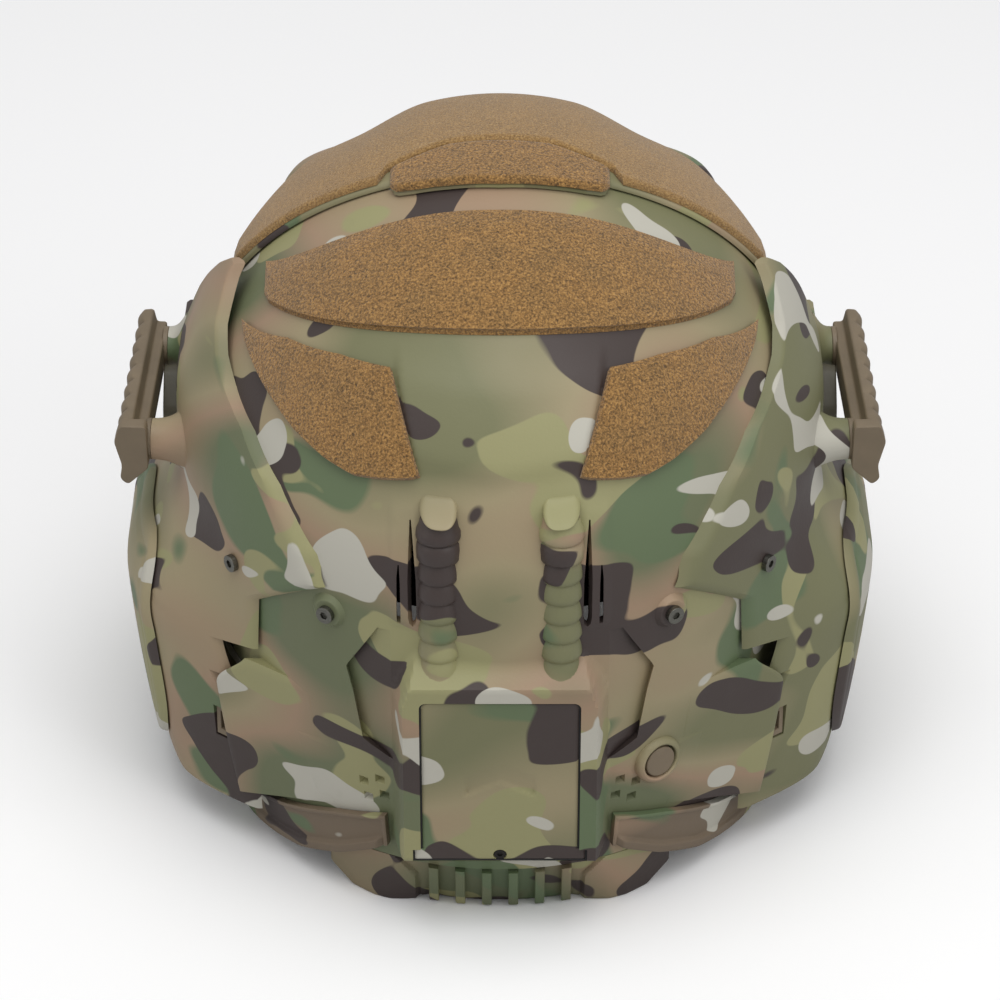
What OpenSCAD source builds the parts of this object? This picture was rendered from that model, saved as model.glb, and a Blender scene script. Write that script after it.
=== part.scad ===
// Full-face airsoft helmet with side rails, loop panels, fans and a lift-up visor.
// It stands on its rim. +Z is up, +X is the wearer's left and -Y is the face.

/* [Shell] */
// Half width of the dome
half_w = 113; // [110:0.5:115]
// Depth of the dome behind its centre
back_d = 125; // [122:0.5:127]
// Depth of the dome in front of its centre
front_d = 119; // [118:0.5:120]
// Rise of the dome above its widest ring
dome_h = 119; // [118:0.5:120]
// Height of the widest ring above the rim
dome_z = 137; // [135:0.5:139]
// Thickness of the moulded shell
wall_t = 3; // [2.6:0.1:3.2]

/* [Loop panels] */
// Thickness of the loop fabric
loop_t = 2.2; // [1.6:0.1:2.6]
// Half width of the crown cover
crown_w = 96; // [92:0.5:97]

/* [Side] */
// Thickness of the side panels
panel_t = 2.6; // [2.2:0.1:2.8]
// How far the cheek stands out around the ear
cheek_out = 19.5; // [16:0.5:21]
// Length of the accessory rail
rail_len = 70; // [68:1:72]
// Height of the accessory rail
rail_h = 23; // [21:0.5:24]
// Depth of the accessory rail
rail_d = 10.5; // [10:0.1:11]
// Number of cross slots in the rail
rail_slots = 7; // [5:1:7]

/* [Visor and jaw] */
// Height of the visor's pivot above the rim
pivot_z = 137; // [136:0.5:138]
// Inner radius of the visor around its pivot, at the middle
visor_r = 124; // [124:0.5:126]
// Thickness of the lens
lens_t = 2; // [1.6:0.1:2.2]
// How far the chin reaches in front of the jaw's ends
chin_d = 115; // [110:1:118]

/* [Battery and button] */
// Width of the battery door
door_w = 55; // [54:0.5:57]
// Height of the battery door
door_h = 66.3; // [66:0.1:67]
// Diameter of a battery cell
cell_d = 18.4; // [18:0.1:18.6]
// Length of a battery cell
cell_l = 65; // [60:0.5:65]
// Radius of the power button
button_r = 6; // [5.5:0.1:6.2]
// Travel of the power button
button_travel = 1.8; // [1:0.1:2]

/* [Fans and fit dial] */
// Width of a fan housing
fan_w = 34; // [32:0.5:35]
// Number of fan blades
fan_blades = 7; // [5:1:9]
// Radius of the fit dial
dial_r = 16; // [14:0.5:17]

/* [Hidden] */
camo = [0.55, 0.53, 0.38];
camo_dark = [0.45, 0.44, 0.32];
loop_tan = [0.6, 0.46, 0.28];
sand = [0.49, 0.44, 0.36];
black = [0.12, 0.12, 0.13];
foam_grey = [0.25, 0.25, 0.27];
steel = [0.55, 0.55, 0.57];
rim_w = 100;
rim_back = 112;
rim_front = 140;
seat_y = 14.25;
split_y = -10;
seam = 0.3;
shell_low = 24;
ring_n = 40;
pivot_y = -16;
hub_r = 9;
visor_w = 122.3;
frame_t = 5;
arm_in = 113.3;
arm_t = 1.5;
door_y = 128;
door_z = 73.85;
door_lean = 3.5;
door_t = 3;
lip_h = 5;
door_screw_low = 3;
hinge_r = 1.2;
hinge_z = door_h / 2 - 1.8;
button_at = [-57, 106, 65];
button_turn = 33;
fan_turn = 22;
fan_z = 150;
fan_face = 111;
fan_bore = fan_w / 2 - 2;
dial_z = 60;
dial_y = 93;
post_front = -27.5;
post_rear = 31;
slot_pitch = 9.2;
sleeve_x = 21;
ear_at = [5, 67];

// Smooth step from 0 to 1
function ease(t) = let (k = min(1, max(0, t))) k * k * (3 - 2 * k);
function mix(a, b, t) = a + (b - a) * t;
// Value of a half axis below the widest ring
function skirt(z, top, rim) = z < dome_z ? mix(top, rim, pow(1 - z / dome_z, 2)) : top;
function climb(z, off) = z > dome_z ? (z - dome_z) / (dome_h + off) : 0;
// Dip of the crown's front on both sides of its middle, as a share of the dome's square
function dip(x, y) = 0.042 * ease(1 - abs(abs(x) - 50) / 24) * ease(-y / 45);
function wide(z, off) = skirt(z, half_w, rim_w) + off;
function deep(z, off, back) = off
  + (back ? skirt(z, back_d, rim_back) : skirt(z, front_d, rim_front));
// Point of the wall, a degrees from the back towards the wearer's left
function wall(a, z, off = 0) =
  let (e0 = max(0, 1 - pow(climb(z, off), 2)), x = wide(z, off) * sqrt(e0) * sin(a),
    y = deep(z, off, cos(a) > 0) * sqrt(e0) * cos(a),
    e = sqrt(max(0, e0 - dip(x, y) * ease((z - 185) / 25))))
  [wide(z, off) * e * sin(a), deep(z, off, cos(a) > 0) * e * cos(a), z];
// Depth of the back at a place x, z
function back_y(x, z, off = 0) = deep(z, off, true)
  * sqrt(max(0, 1 - pow(x / wide(z, off), 2) - pow(climb(z, off), 2)));
// Height of the dome at a place x, y
function top_z(x, y, off = 0) = dome_z + (dome_h + off)
  * sqrt(max(0, 1 - pow(x / (half_w + off), 2)
    - pow(y / ((y > 0 ? back_d : front_d) + off), 2) - dip(x, y)));
// Half width of the side panel's surface, moved out by t
function side_x(y, z, t = 0) =
  let (flat = 1 - ease(y / 60),
    off = 3.4 + 1.8 * flat + cheek_out * ease((138 - z) / 52) * ease((86 - y) / 42) + t,
    upright = mix(16, 8, ease((z - 165) / 22)) * flat,
    up = z > dome_z ? max(0, z - dome_z - upright) / (dome_h + off) : 0)
  (skirt(z, half_w, rim_w) + off)
    * sqrt(max(0, 1 - pow(max(y, 0) / deep(z, off, true), 2) - up * up));
// Radius of the visor around its pivot axis
function visor_at(x, t = 0) = (visor_r + t) * sqrt(max(0, 1 - pow(x / (visor_w + t), 2)));
// Corners of a rectangle with round corners
function round_rect(w, h, r, n = 4) = [for (c = [0 : 3], i = [0 : n])
  let (a = 90 * c + 90 * i / n, sx = c == 0 || c == 3 ? 1 : -1, sy = c < 2 ? 1 : -1)
  [sx * (w / 2 - r) + r * cos(a), sy * (h / 2 - r) + r * sin(a)]];

// Moves the dome's centre to its place above the rim's middle
module seat() translate([0, seat_y, 0]) children();
module left_right() { children(); mirror([1, 0, 0]) children(); }
// Closed sheet between two grids: rows run up, points run to the right seen from outside
module sheet(outer, inner) {
  rows = len(outer);
  cols = len(outer[0]);
  function at(s, i, j) = (s * rows + i) * cols + j;
  skin = [for (i = [0 : rows - 2], j = [0 : cols - 2])
    let (a = at(0, i, j), b = at(0, i, j + 1), c = at(0, i + 1, j + 1), d = at(0, i + 1, j))
    each [[a, d, c], [a, c, b]]];
  lining = [for (i = [0 : rows - 2], j = [0 : cols - 2])
    let (a = at(1, i, j), b = at(1, i, j + 1), c = at(1, i + 1, j + 1), d = at(1, i + 1, j))
    each [[a, c, d], [a, b, c]]];
  ends = [for (j = [0 : cols - 2])
    let (a = at(0, 0, j), b = at(0, 0, j + 1), e = at(1, 0, j), f = at(1, 0, j + 1),
      c = at(0, rows - 1, j + 1), d = at(0, rows - 1, j),
      g = at(1, rows - 1, j + 1), h = at(1, rows - 1, j))
    each [[a, b, f], [a, f, e], [c, d, h], [c, h, g]]];
  sides = [for (i = [0 : rows - 2])
    let (a = at(0, i, 0), d = at(0, i + 1, 0), e = at(1, i, 0), h = at(1, i + 1, 0),
      b = at(0, i, cols - 1), c = at(0, i + 1, cols - 1),
      f = at(1, i, cols - 1), g = at(1, i + 1, cols - 1))
    each [[d, a, e], [d, e, h], [b, c, g], [b, g, f]]];
  polyhedron([for (r = outer) each r, for (r = inner) each r],
    concat(skin, lining, ends, sides));
}
// Sheet on the back, from edge to edge in x, between a lower and an upper line
module back_sheet(xs, lows, highs, rows, t0, t1) {
  function grid(d) = [for (i = [0 : rows]) [for (j = [0 : len(xs) - 1])
    let (x = xs[j] * (1 - d / half_w), z1 = mix(lows[j], highs[j], i / rows),
      z = z1 - d * (z1 - dome_z) / dome_h)
    [x, back_y(x, z, t1 - d), z]]];
  sheet(grid(0), grid(t1 - t0));
}
// Sheet on the crown, between a front and a rear line
module crown_sheet(xs, fronts, rears, rows, t0, t1) {
  function grid(t) = [for (i = [0 : rows]) [for (j = [0 : len(xs) - 1])
    let (y = mix(rears[j], fronts[j], i / rows)) [xs[j], y, top_z(xs[j], y, t)]]];
  sheet(grid(t1), grid(t0));
}
// Hollow dome, open below
module bowl() {
  up = concat([for (z = [0 : 4]) shell_low + (dome_z - shell_low) * z / 5],
    [for (e = [0 : 8]) dome_z + dome_h * sin(e * 10)]);
  rows = len(up);
  function ring(off, z) = [for (k = [0 : ring_n - 1]) wall(360 * k / ring_n, z, off)];
  function inner_z(z) = z > dome_z ? dome_z + (z - dome_z) * (dome_h - wall_t) / dome_h : z;
  outer = [for (z = up) each ring(0, z)];
  inner = [for (z = up) each ring(-wall_t, inner_z(z))];
  n = rows * ring_n;
  tips = [[0, 0, dome_z + dome_h], [0, 0, dome_z + dome_h - wall_t]];
  function at(s, i, k) = s * n + i * ring_n + (k % ring_n);
  walls = [for (i = [0 : rows - 2], k = [0 : ring_n - 1])
    let (a = at(0, i, k), b = at(0, i, k + 1), c = at(0, i + 1, k + 1), d = at(0, i + 1, k),
      e = at(1, i, k), f = at(1, i, k + 1), g = at(1, i + 1, k + 1), h = at(1, i + 1, k))
    each [[a, b, c], [a, c, d], [e, g, f], [e, h, g]]];
  caps = [for (k = [0 : ring_n - 1]) each [
    [at(0, rows - 1, k), at(0, rows - 1, k + 1), 2 * n],
    [at(1, rows - 1, k + 1), at(1, rows - 1, k), 2 * n + 1],
    [at(0, 0, k), at(1, 0, k), at(1, 0, k + 1)],
    [at(0, 0, k), at(1, 0, k + 1), at(0, 0, k + 1)]]];
  polyhedron(concat(outer, inner, tips), concat(walls, caps));
}
// Frame of the battery door: x across, z up the door's face, y out of it
module on_door() translate([0, door_y, door_z]) rotate([-door_lean, 0, 0]) children();
// Frame of the power button, z out of the wall
module on_button() translate(button_at) rotate([0, 0, button_turn]) rotate([-90, 0, 0]) children();
// Frame of the left rail: x out, y along it to the rear, z up
module on_rail() translate([126, -9, 150]) rotate([-4, 0, -2.5]) children();
// Frame of a fan, z out of the wall
module on_fan() rotate([0, 0, -fan_turn]) translate([0, fan_face, fan_z])
  rotate([-90, 0, 0]) children();
module screw_at(p, turn) translate(p) rotate([0, 0, -turn]) rotate([-90, 0, 0]) children();
screw_back = [59.7, 107.1, 130.3];
screw_side = [89.6, 71.9, 129.9];

// Block on the back that the battery door closes, grown on every side
module housing(grow) on_door() hull() {
  translate([-37.4 - grow, -14, -47.8]) cube([74.8 + 2 * grow, 2 + grow, 89]);
  translate([-31 - grow, -14, 40]) cube([62 + 2 * grow, 2 + grow, 10 + grow]);
  translate([-34.8 - grow, -1, -38.4]) cube([69.6 + 2 * grow, 1.6 + grow, 78 + grow]);
}

// Shell
module rear_shell() color(camo) difference() {
  union() {
    intersection() {
      bowl();
      translate([-150, split_y + seam / 2, 0]) cube([300, 200, 300]);
    }
    housing(0);
    spine();
    left_right() {
      cheek_plate();
      hood();
      chevron_backing();
    }
    left_right() screw_at(screw_back, 30) translate([0, 0, -5]) cylinder(h = 6.2, r = 5, $fn = 32);
    on_button() translate([0, 0, -6]) cylinder(h = 6, r = 11, $fn = 40);
  }
  on_door() {
    door_blank(0.6, 4);
    translate([-23.8, -40, -34.2]) cube([47.6, 35.8, 68.4]);
    translate([-23.8, -10, -32.6]) cube([47.6, 20, 65.2]);
    translate([0, -1.7, hinge_z]) rotate([0, 90, 0])
      cylinder(h = door_w + 6, r = hinge_r + 0.06, center = true, $fn = 32);
    translate([0, -1.7, hinge_z]) rotate([0, 90, 0])
      cylinder(h = door_w + 1.2, r = 2.7, center = true, $fn = 40);
    translate([0, -8, -door_h / 2 - door_screw_low]) rotate([-90, 0, 0]) cylinder(h = 8, r = 1.65, $fn = 32);
  }
  left_right() {
    chevron();
    pits();
    translate([0, 140, 0]) rotate([90, 0, 0]) linear_extrude(40) {
      polygon([[29.6, 133.5], [31.6, 136], [31.8, 158], [31, 173.5], [30.4, 173.5], [29, 158], [28.7, 136]]);
      polygon([[34.3, 134], [35.6, 134], [35.6, 156], [34.8, 156.5]]);
    }
    screw_at(screw_back, 30) translate([0, 0, -12]) cylinder(h = 20, r = 1.65, $fn = 32);
    screw_at(screw_side, 52) translate([0, 0, -20]) cylinder(h = 30, r = 1.65, $fn = 32);
  }
  on_button() {
    translate([0, 0, -1.8]) cylinder(h = 8, r = button_r + 2.2, $fn = 48);
    translate([0, 0, -12]) cylinder(h = 20, r = button_r + 0.35, $fn = 48);
  }
}
// Raised field between the loops, wider at its top
module spine() {
  function grid(t) = [for (i = [0 : 3]) [for (j = [0 : 6])
    let (half = mix(26, 35, i / 3), x = mix(half, -half, j / 6), z = mix(184, 216, i / 3) + abs(j - 3))
    [x, back_y(x, z, t), z]]];
  sheet(grid(1.8), grid(-2));
}
// Hood over the cable sleeve's upper end, with a curved lip
module hood() {
  function grid(lining) = [for (i = [0 : 5]) [for (j = [0 : 8])
    let (u = (4 - j) / 4, x = sleeve_x + 8 * u, z = mix(177.6 + 4.5 * u * u, 185, i / 5),
      rise = 8.8 * (1 - pow(abs(u), 2.5)) * sqrt(1 - pow(i / 5, 2)))
    [x, back_y(x, z, lining ? -1 : 0.2 + rise), z]]];
  sheet(grid(false), grid(true));
}
// Angled recess beside the housing: it drops at its outer line and climbs back towards the housing
chevron_z = [72.6, 78, 88, 98.8, 109, 120, 129.5];
chevron_edge = [[72.6, 39], [78, 48.5], [98.8, 51.7], [109, 54], [129.5, 42.6]];
module chevron() {
  function grid(floor) = [for (z = chevron_z) [for (j = [0 : 3])
    let (x = mix(lookup(z, chevron_edge), 38, j / 3), drop = 2.8 * ease((z - 69) / 8) * ease((134 - z) / 14))
    [x, back_y(x, z, floor ? -drop * (1 - j / 3) : 3), z]]];
  sheet(grid(false), grid(true));
}
// Thicker wall behind the recess
module chevron_backing() {
  function grid(t) = [for (i = [0 : 4]) [for (j = [0 : 3])
    let (x = mix(57, 37, j / 3), z = mix(74, 131, i / 4)) [x, back_y(x, z, t), z]]];
  sheet(grid(-2), grid(-5.6));
}
// Four square pits under the recess
module pits() for (p = [[48.6, 57.7], [42.8, 60.6], [47, 50.6], [41.2, 53.6]])
  translate([p[0], back_y(p[0], p[1]) - 1.9, p[1]]) rotate([-90, 0, -26]) rotate([0, 0, 45])
    cylinder(h = 2.2, r1 = 0.4, r2 = 3.1, $fn = 4);
// Plate of the rear shell that laps over the side panel's rear edge
module cheek_plate() {
  function grid(lining) = [for (i = [0 : 6]) [for (j = [0 : 8])
    let (z0 = lookup(j, [[0, 25], [2, 28.5], [8, 40]]), z = mix(z0, 91, i / 6),
      y = mix(mix(70.6, 80, ease((z - 74) / 20)), 98, j / 8), out = mix(2.4, -3.2, ease((y - 72) / 26)))
    [side_x(y, z, lining ? mix(0.6, -5.4, ease((y - 77) / 3)) : out), y, z]]];
  sheet(grid(false), grid(true));
}
module front_shell() color(camo) difference() {
  union() {
    intersection() {
      bowl();
      translate([-150, split_y - seam / 2 - 200, 0]) cube([300, 200, 300]);
    }
    brow_lip();
    left_right() brow_ridge();
  }
  translate([-150, -200, 0]) cube([300, 142, 154.5]);
  translate([-150, -200, 0]) cube([300, 250, 96]);
  left_right() translate([100, pivot_y, pivot_z]) rotate([0, 90, 0])
    cylinder(h = 20, r = 3.06, $fn = 32);
}
// Low swelling in front of the crown cover
module brow_ridge() {
  function grid(rise) = [for (i = [0 : 6]) [for (j = [0 : 8])
    let (x = mix(80, 36, j / 8), y = crown_front(x) - mix(0.8, 24, i / 6),
      swell = (1 - pow(abs(i - 2.4) / 3.6, 3)) * (1 - pow(abs(j - 4) / 4, 3)))
    [x, y, top_z(x, y, rise == 0 ? -2 : 0.2 + rise * swell)]]];
  sheet(grid(7.5), grid(0));
}
// Ledge over the eyes that the visor passes over
module brow_lip() {
  function lip(t, z) = [for (j = [0 : 14]) let (x = mix(-94, 94, j / 14))
    [x, t < 0 ? -deep(z, -2, false) * sqrt(max(0, 1 - pow(x / wide(z, -2), 2) - pow(climb(z, -2), 2)))
      : pivot_y - sqrt(pow(visor_at(x, -t), 2) - pow(z - pivot_z, 2)), z]];
  sheet([lip(3.6, 156), lip(3.6, 161)], [lip(-2, 156), lip(-2, 161)]);
}
function crown_front(x) = -94 + 80 * pow(abs(x) / crown_w, 1.35);
function crown_rear(x) = 20.5 - 21.5 * pow(abs(x) / crown_w, 2.2);
// Rear line of the crown's loop, with the notch that takes the tab
function notch(x) = abs(x) > 43 ? crown_rear(x)
  : lookup(abs(x), [[0, 3], [18, 3.2], [30, 7.5], [40, 11], [43, 16.5]]);
function tab_rear(x) = lookup(abs(x), [[0, 29.8], [18, 28.7], [30, 27.4], [36, 26], [38.5, 22.5]]);
// A list of places and its mirror image, with the middle between them
function both(xs) = concat(xs, [0], [for (j = [len(xs) - 1 : -1 : 0]) -xs[j]]);
crown_xs = both([crown_w, crown_w - 11, 73, 61, 51, 43.5, 40, 30, 18]);
tab_xs = both([38.5, 36, 30, 18]);
module crown_cover() color(camo_dark) crown_sheet(crown_xs, [for (x = crown_xs) crown_front(x)],
  [for (x = crown_xs) abs(x) < 37 ? tab_rear(x) - 1 : crown_rear(x)], 8, 0.8, 2.6);
module loop_crown() color(loop_tan) crown_sheet(crown_xs, [for (x = crown_xs) crown_front(x) + 1],
  [for (x = crown_xs) notch(x) - 0.6], 8, 2.9, 2.9 + loop_t);
module loop_tab() color(loop_tan) crown_sheet(tab_xs, [for (x = tab_xs) notch(x) + 0.6],
  [for (x = tab_xs) tab_rear(x)], 3, 2.9, 2.9 + loop_t);
module loop_rear_wide() {
  xs = [for (j = [0 : 20]) mix(83, -83, j / 20)];
  color(loop_tan) back_sheet(xs, [for (x = xs) 229 - 0.0015 * pow(abs(x), 2.08)],
    [for (x = xs) 252.6 - 0.0031 * pow(abs(x), 2.1)], 5, 0.4, 0.4 + loop_t);
}
module loop_side() {
  lows = [[27.7, 188.2], [31, 186.9], [42, 184.9], [51, 183.8], [60, 185.6], [71, 189.6], [78, 193.4],
    [85, 197.4], [91, 201.8]];
  highs = [[37.6, 216.6], [55, 215.3], [74, 211.4], [91.5, 203.4]];
  function grid(t) = [for (i = [0 : 4]) [for (j = [0 : 10])
    let (x0 = mix(90.8, 27.7, j / 10), x1 = mix(91.5, 37.6, j / 10), x = mix(x0, x1, i / 4),
      z = mix(lookup(x0, lows), lookup(x1, highs), i / 4))
    [x, back_y(x, z, t), z]]];
  color(loop_tan) sheet(grid(0.4 + loop_t), grid(0.4));
}
module loop_rear_left() loop_side();
module loop_rear_right() mirror([1, 0, 0]) loop_side();

// Side panels, ear covers and rails
panel_z = [18, 34, 50, 66, 80, 93, 96, 107, 119, 124, 132, 140, 151, 161, 169, 180, 186, 192, 199, 206,
  212, 216];
panel_rear = [[18, 72], [50, 76], [93, 70], [96, 81], [119, 83], [140, 106.5], [151, 102.5], [161, 94],
  [169, 86], [180, 68], [186, 50], [192, 36.6], [199, 27], [206, 21.5], [212, 16], [216, 13.5]];
panel_front = [[18, -50], [119, -50], [124, -62], [157, -62], [163, -16], [186, -15], [193, -12], [201, -6.5],
  [210, 1.6], [216, 9]];
module panel_sheet(t0, t1) {
  function grid(t) = [for (z = panel_z) [for (j = [0 : 13])
    let (y = mix(lookup(z, panel_front), lookup(z, panel_rear), j / 13)) [side_x(y, z, t), y, z]]];
  sheet(grid(t1), grid(t0));
}
module side_panel_left() color(camo) difference() {
  union() {
    panel_sheet(-panel_t, 0);
    on_rail() for (p = [[post_front, 6.7, 13], [post_rear, 10.9, 10.5]])
      translate([-1.5 - p[1], p[0], 0]) rotate([0, 90, 0]) cylinder(h = p[1], r1 = p[2], r2 = 7.5, $fn = 32);
  }
  translate([100, ear_at[0], ear_at[1]]) rotate([0, 90, 0]) cylinder(h = 60, r = 24, $fn = 48);
  translate([100, pivot_y, pivot_z]) rotate([0, 90, 0]) {
    cylinder(h = 40, r = 3.06, $fn = 32);
    translate([0, 0, side_x(pivot_y, pivot_z) - 100]) hub(20, 0.3);
  }
  screw_at(screw_side, 52) translate([0, 0, -20]) cylinder(h = 30, r = 1.65, $fn = 32);
  on_rail() for (y = [post_front, post_rear])
    translate([-12, y, 0]) rotate([0, 90, 0]) cylinder(h = 16, r = 1.65, $fn = 32);
  on_hook() translate([0, 0, -0.4]) cube([8.8, 30, 13.8], center = true);
  rotate([90, 0, 90]) translate([0, 0, 80]) linear_extrude(40) polygon([[67.4, 77.6], [80, 79.2], [80, 74],
    [69.9, 68.4]]);
}
module side_panel_right() mirror([1, 0, 0]) side_panel_left();
module ear_cover_left() {
  function half(z) = 44 * pow(max(0, 1 - pow(abs(z - ear_at[1]) / 46, 3)), 1 / 3);
  function grid(t) = [for (i = [0 : 10]) let (z = ear_at[1] + mix(-44.5, 44.5, i / 10))
    [for (j = [0 : 10]) let (y = ear_at[0] + mix(-half(z), half(z), j / 10)) [side_x(y, z, t), y, z]]];
  color(camo_dark) difference() {
    sheet(grid(3.2), grid(0.8));
    for (i = [-2 : 2]) translate([110, ear_at[0] - 18 + 2 * abs(i), ear_at[1] + 9 * i - 2])
      cube([40, 36 - 4 * abs(i), 4]);
  }
}
module ear_cover_right() mirror([1, 0, 0]) ear_cover_left();
module side_rail_left() color(sand) on_rail() difference() {
  union() {
    translate([0, rail_len / 2, 0]) rotate([90, 0, 0]) linear_extrude(rail_len) polygon([
      [0, -6], [3.6, -6], [4.6, -rail_h / 2], [8.4, -rail_h / 2], [rail_d, 2.5 - rail_h / 2],
      [rail_d, -3], [rail_d - 2.2, -2.2], [rail_d - 2.2, 2.2], [rail_d, 3],
      [rail_d, rail_h / 2 - 2.5], [8.4, rail_h / 2], [4.6, rail_h / 2], [3.6, 6], [0, 6]]);
    translate([0, rail_len / 2 + 5, 0]) rotate([90, 0, 0]) linear_extrude(5) polygon([
      [-0.5, -7], [7.3, -14.5], [10.1, -12], [rail_d - 1.4, -6], [rail_d + 1, 4.5],
      [rail_d - 1.2, rail_h / 2], [-0.5, rail_h / 2]]);
    for (y = [post_front, post_rear])
      translate([-1.4, y, 0]) rotate([0, 90, 0]) cylinder(h = 2, r = 7.5, $fn = 32);
  }
  for (i = [0 : rail_slots - 1])
    translate([rail_d - 2, (i - (rail_slots - 1) / 2) * slot_pitch - 2, -20]) cube([5, 4, 40]);
  for (y = [post_front, post_rear]) translate([0, y, 0]) rotate([0, 90, 0]) {
    translate([0, 0, -3]) cylinder(h = 20, r = 2.06, $fn = 32);
    translate([0, 0, 5]) cylinder(h = 20, r = 3.7, $fn = 32);
  }
}
module side_rail_right() mirror([1, 0, 0]) side_rail_left();
module rail_screws() color(steel) left_right() on_rail() for (y = [post_front, post_rear])
  translate([0, y, 0]) rotate([0, 90, 0]) difference() {
    union() {
      translate([0, 0, 5]) cylinder(h = 2.8, r = 3.4, $fn = 32);
      translate([0, 0, -1.4]) cylinder(h = 6.4, r = 2, $fn = 32);
      translate([0, 0, -9]) cylinder(h = 7.6, r = 1.6, $fn = 32);
    }
    translate([0, 0, 6.3]) cylinder(h = 3, r = 1.6, $fn = 6);
  }
module shell_screws() color(steel) left_right() {
  screw_at(screw_back, 30) screw(8);
  screw_at(screw_side, 52) translate([0, 0, 4.9]) screw(11);
}
module screw(length) difference() {
  union() {
    translate([0, 0, 1.3]) cylinder(h = 2, r = 3.2, $fn = 32);
    translate([0, 0, 1.3 - length]) cylinder(h = length, r = 1.6, $fn = 32);
  }
  translate([0, 0, 2.1]) cylinder(h = 2, r = 1.5, $fn = 6);
}
hook_at = [98.9, 66.6, 55];
module on_hook() translate(hook_at) rotate([0, 0, -37.4]) children();
module hook() color(sand) on_hook() difference() {
  translate([0, 0, 0]) cube([8, 5, 13], center = true);
  translate([0, 1.4, 0]) cube([4, 4, 8], center = true);
}
module side_hook_left() hook();
module side_hook_right() mirror([1, 0, 0]) hook();

// Jaw and neck
function jaw_z(y) = pivot_z - 0.466 * (pivot_y - y) - 3;
function jaw_y(a, z) = -46 - (chin_d - 13 * pow((z - 42) / 42, 2)) * cos(a);
module jaw_guard() {
  function grid(t) = [for (i = [0 : 7]) [for (j = [0 : 24])
    let (a = mix(-86.5, 86.5, j / 24), z = mix(0, jaw_z(jaw_y(a, 50)), i / 7))
    [(side_x(0, z, -t) - 0.3) * sin(a), jaw_y(a, z) + t * cos(a), z]]];
  color(camo) difference() {
    sheet(grid(0), grid(3));
    translate([0, -130, 40]) rotate([90, 0, 0]) linear_extrude(60) polygon([
      [-30, -12], [30, -12], [36, 2], [28, 15], [-28, 15], [-36, 2]]);
    left_right() for (i = [0 : 2]) translate([60, -140, 30 + 13 * i]) rotate([0, 0, 30])
      cube([24, 60, 5]);
  }
}
module jaw_grille() color(black) intersection() {
  translate([0, -130, 40]) rotate([90, 0, 0]) linear_extrude(60) polygon([
    [-29.6, -11.7], [29.6, -11.7], [35.5, 2], [27.7, 14.7], [-27.7, 14.7], [-35.5, 2]]);
  union() {
    for (i = [-2 : 2]) translate([-40, -157, 40 + 5.2 * i]) cube([80, 3, 2]);
    for (i = [-3 : 3]) translate([10 * i - 1, -157, 25]) cube([2, 3, 34]);
    for (i = [-3 : 3]) translate([10 * i - 1, -154.1, 25]) cube([2, 3, 34]);
  }
}
// How far the neck guard leans in at its lower edge: most in its middle, between the wings
neck_lean = [[0, 6.9], [25, 6.3], [29.5, 4], [34, 2], [40, -0.4], [46, -1], [54, 0], [62, 1.5]];
neck_xs = both([62, 54, 46, 40, 34, 29.5, 25, 12]);
function neck_y(x, z, t) = back_y(x, z, t - lookup(abs(x), neck_lean) * pow(1 - z / shell_low, 1.2));
module neck_sheet(xs, low, z1, t0, t1) {
  function grid(t) = [for (i = [0 : 3]) [for (x = xs)
    let (z = mix(low + lookup(abs(x), [[53, 0], [62, 7]]), z1, i / 3)) [x, neck_y(x, z, t), z]]];
  sheet(grid(t1), grid(t0));
}
module neck_guard() color(camo) {
  neck_sheet(neck_xs, 0, shell_low - 0.3, -wall_t, 0);
  for (i = [-2.5 : 2.5]) neck_sheet([9.6 * i + 1.8, 9.6 * i - 1.8], 1, shell_low - 0.8, -1, 2);
}
module scoop() {
  tops = [[22, 45.6], [33, 39], [48, 27], [66, 15]];
  lows = [[22, 31], [33, 19], [44, 10], [66, 0.5]];
  function grid(k) = [for (i = [0 : 6]) [for (j = [0 : 12])
    let (a = mix(66, 22, j / 12), z = mix(lookup(a, lows), lookup(a, tops), i / 6),
      edge = max(pow(abs(i - 3) / 3, 4), pow(abs(j - 6) / 6, 8)))
    wall(a, z, k == 0 ? 0.4 : 2 + 3 * edge)]];
  color(sand) sheet(grid(1), grid(0));
}
module exhaust_scoop_left() scoop();
module exhaust_scoop_right() mirror([1, 0, 0]) scoop();
// Ribbed sleeve lying on the back
module cable_sleeve() {
  color(camo) difference() {
    translate([sleeve_x, back_y(sleeve_x, 116) - 1.5, 113]) rotate([3.5, 0, 0]) rotate_extrude($fn = 40)
      polygon([[0, 0], [6, 0], for (i = [0 : 6]) each [[7.4, 6.6 * i + 1.2], [7.4, 6.6 * i + 4.6],
        [6.3, 6.6 * i + 5.9]], [6.6, 46.6], [7.7, 47.6], [7.7, 58.4], [7, 60.4], [7, 63.1], [0, 63.5]]);
    bowl_core(0.4);
    housing(0.1);
  }
}
// Solid filling the dome's back, moved out by t
module bowl_core(t) {
  zs = [100, 119, 137, 150, 163, 176, 189];
  function grid(d) = [for (z = zs) [for (j = [0 : 4]) let (x = mix(36, 6, j / 4))
    [x, d == 0 ? 95 : back_y(x, z, t), z]]];
  sheet(grid(1), grid(0));
}
module cable_sleeve_left() cable_sleeve();
module cable_sleeve_right() mirror([1, 0, 0]) cable_sleeve();

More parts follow.
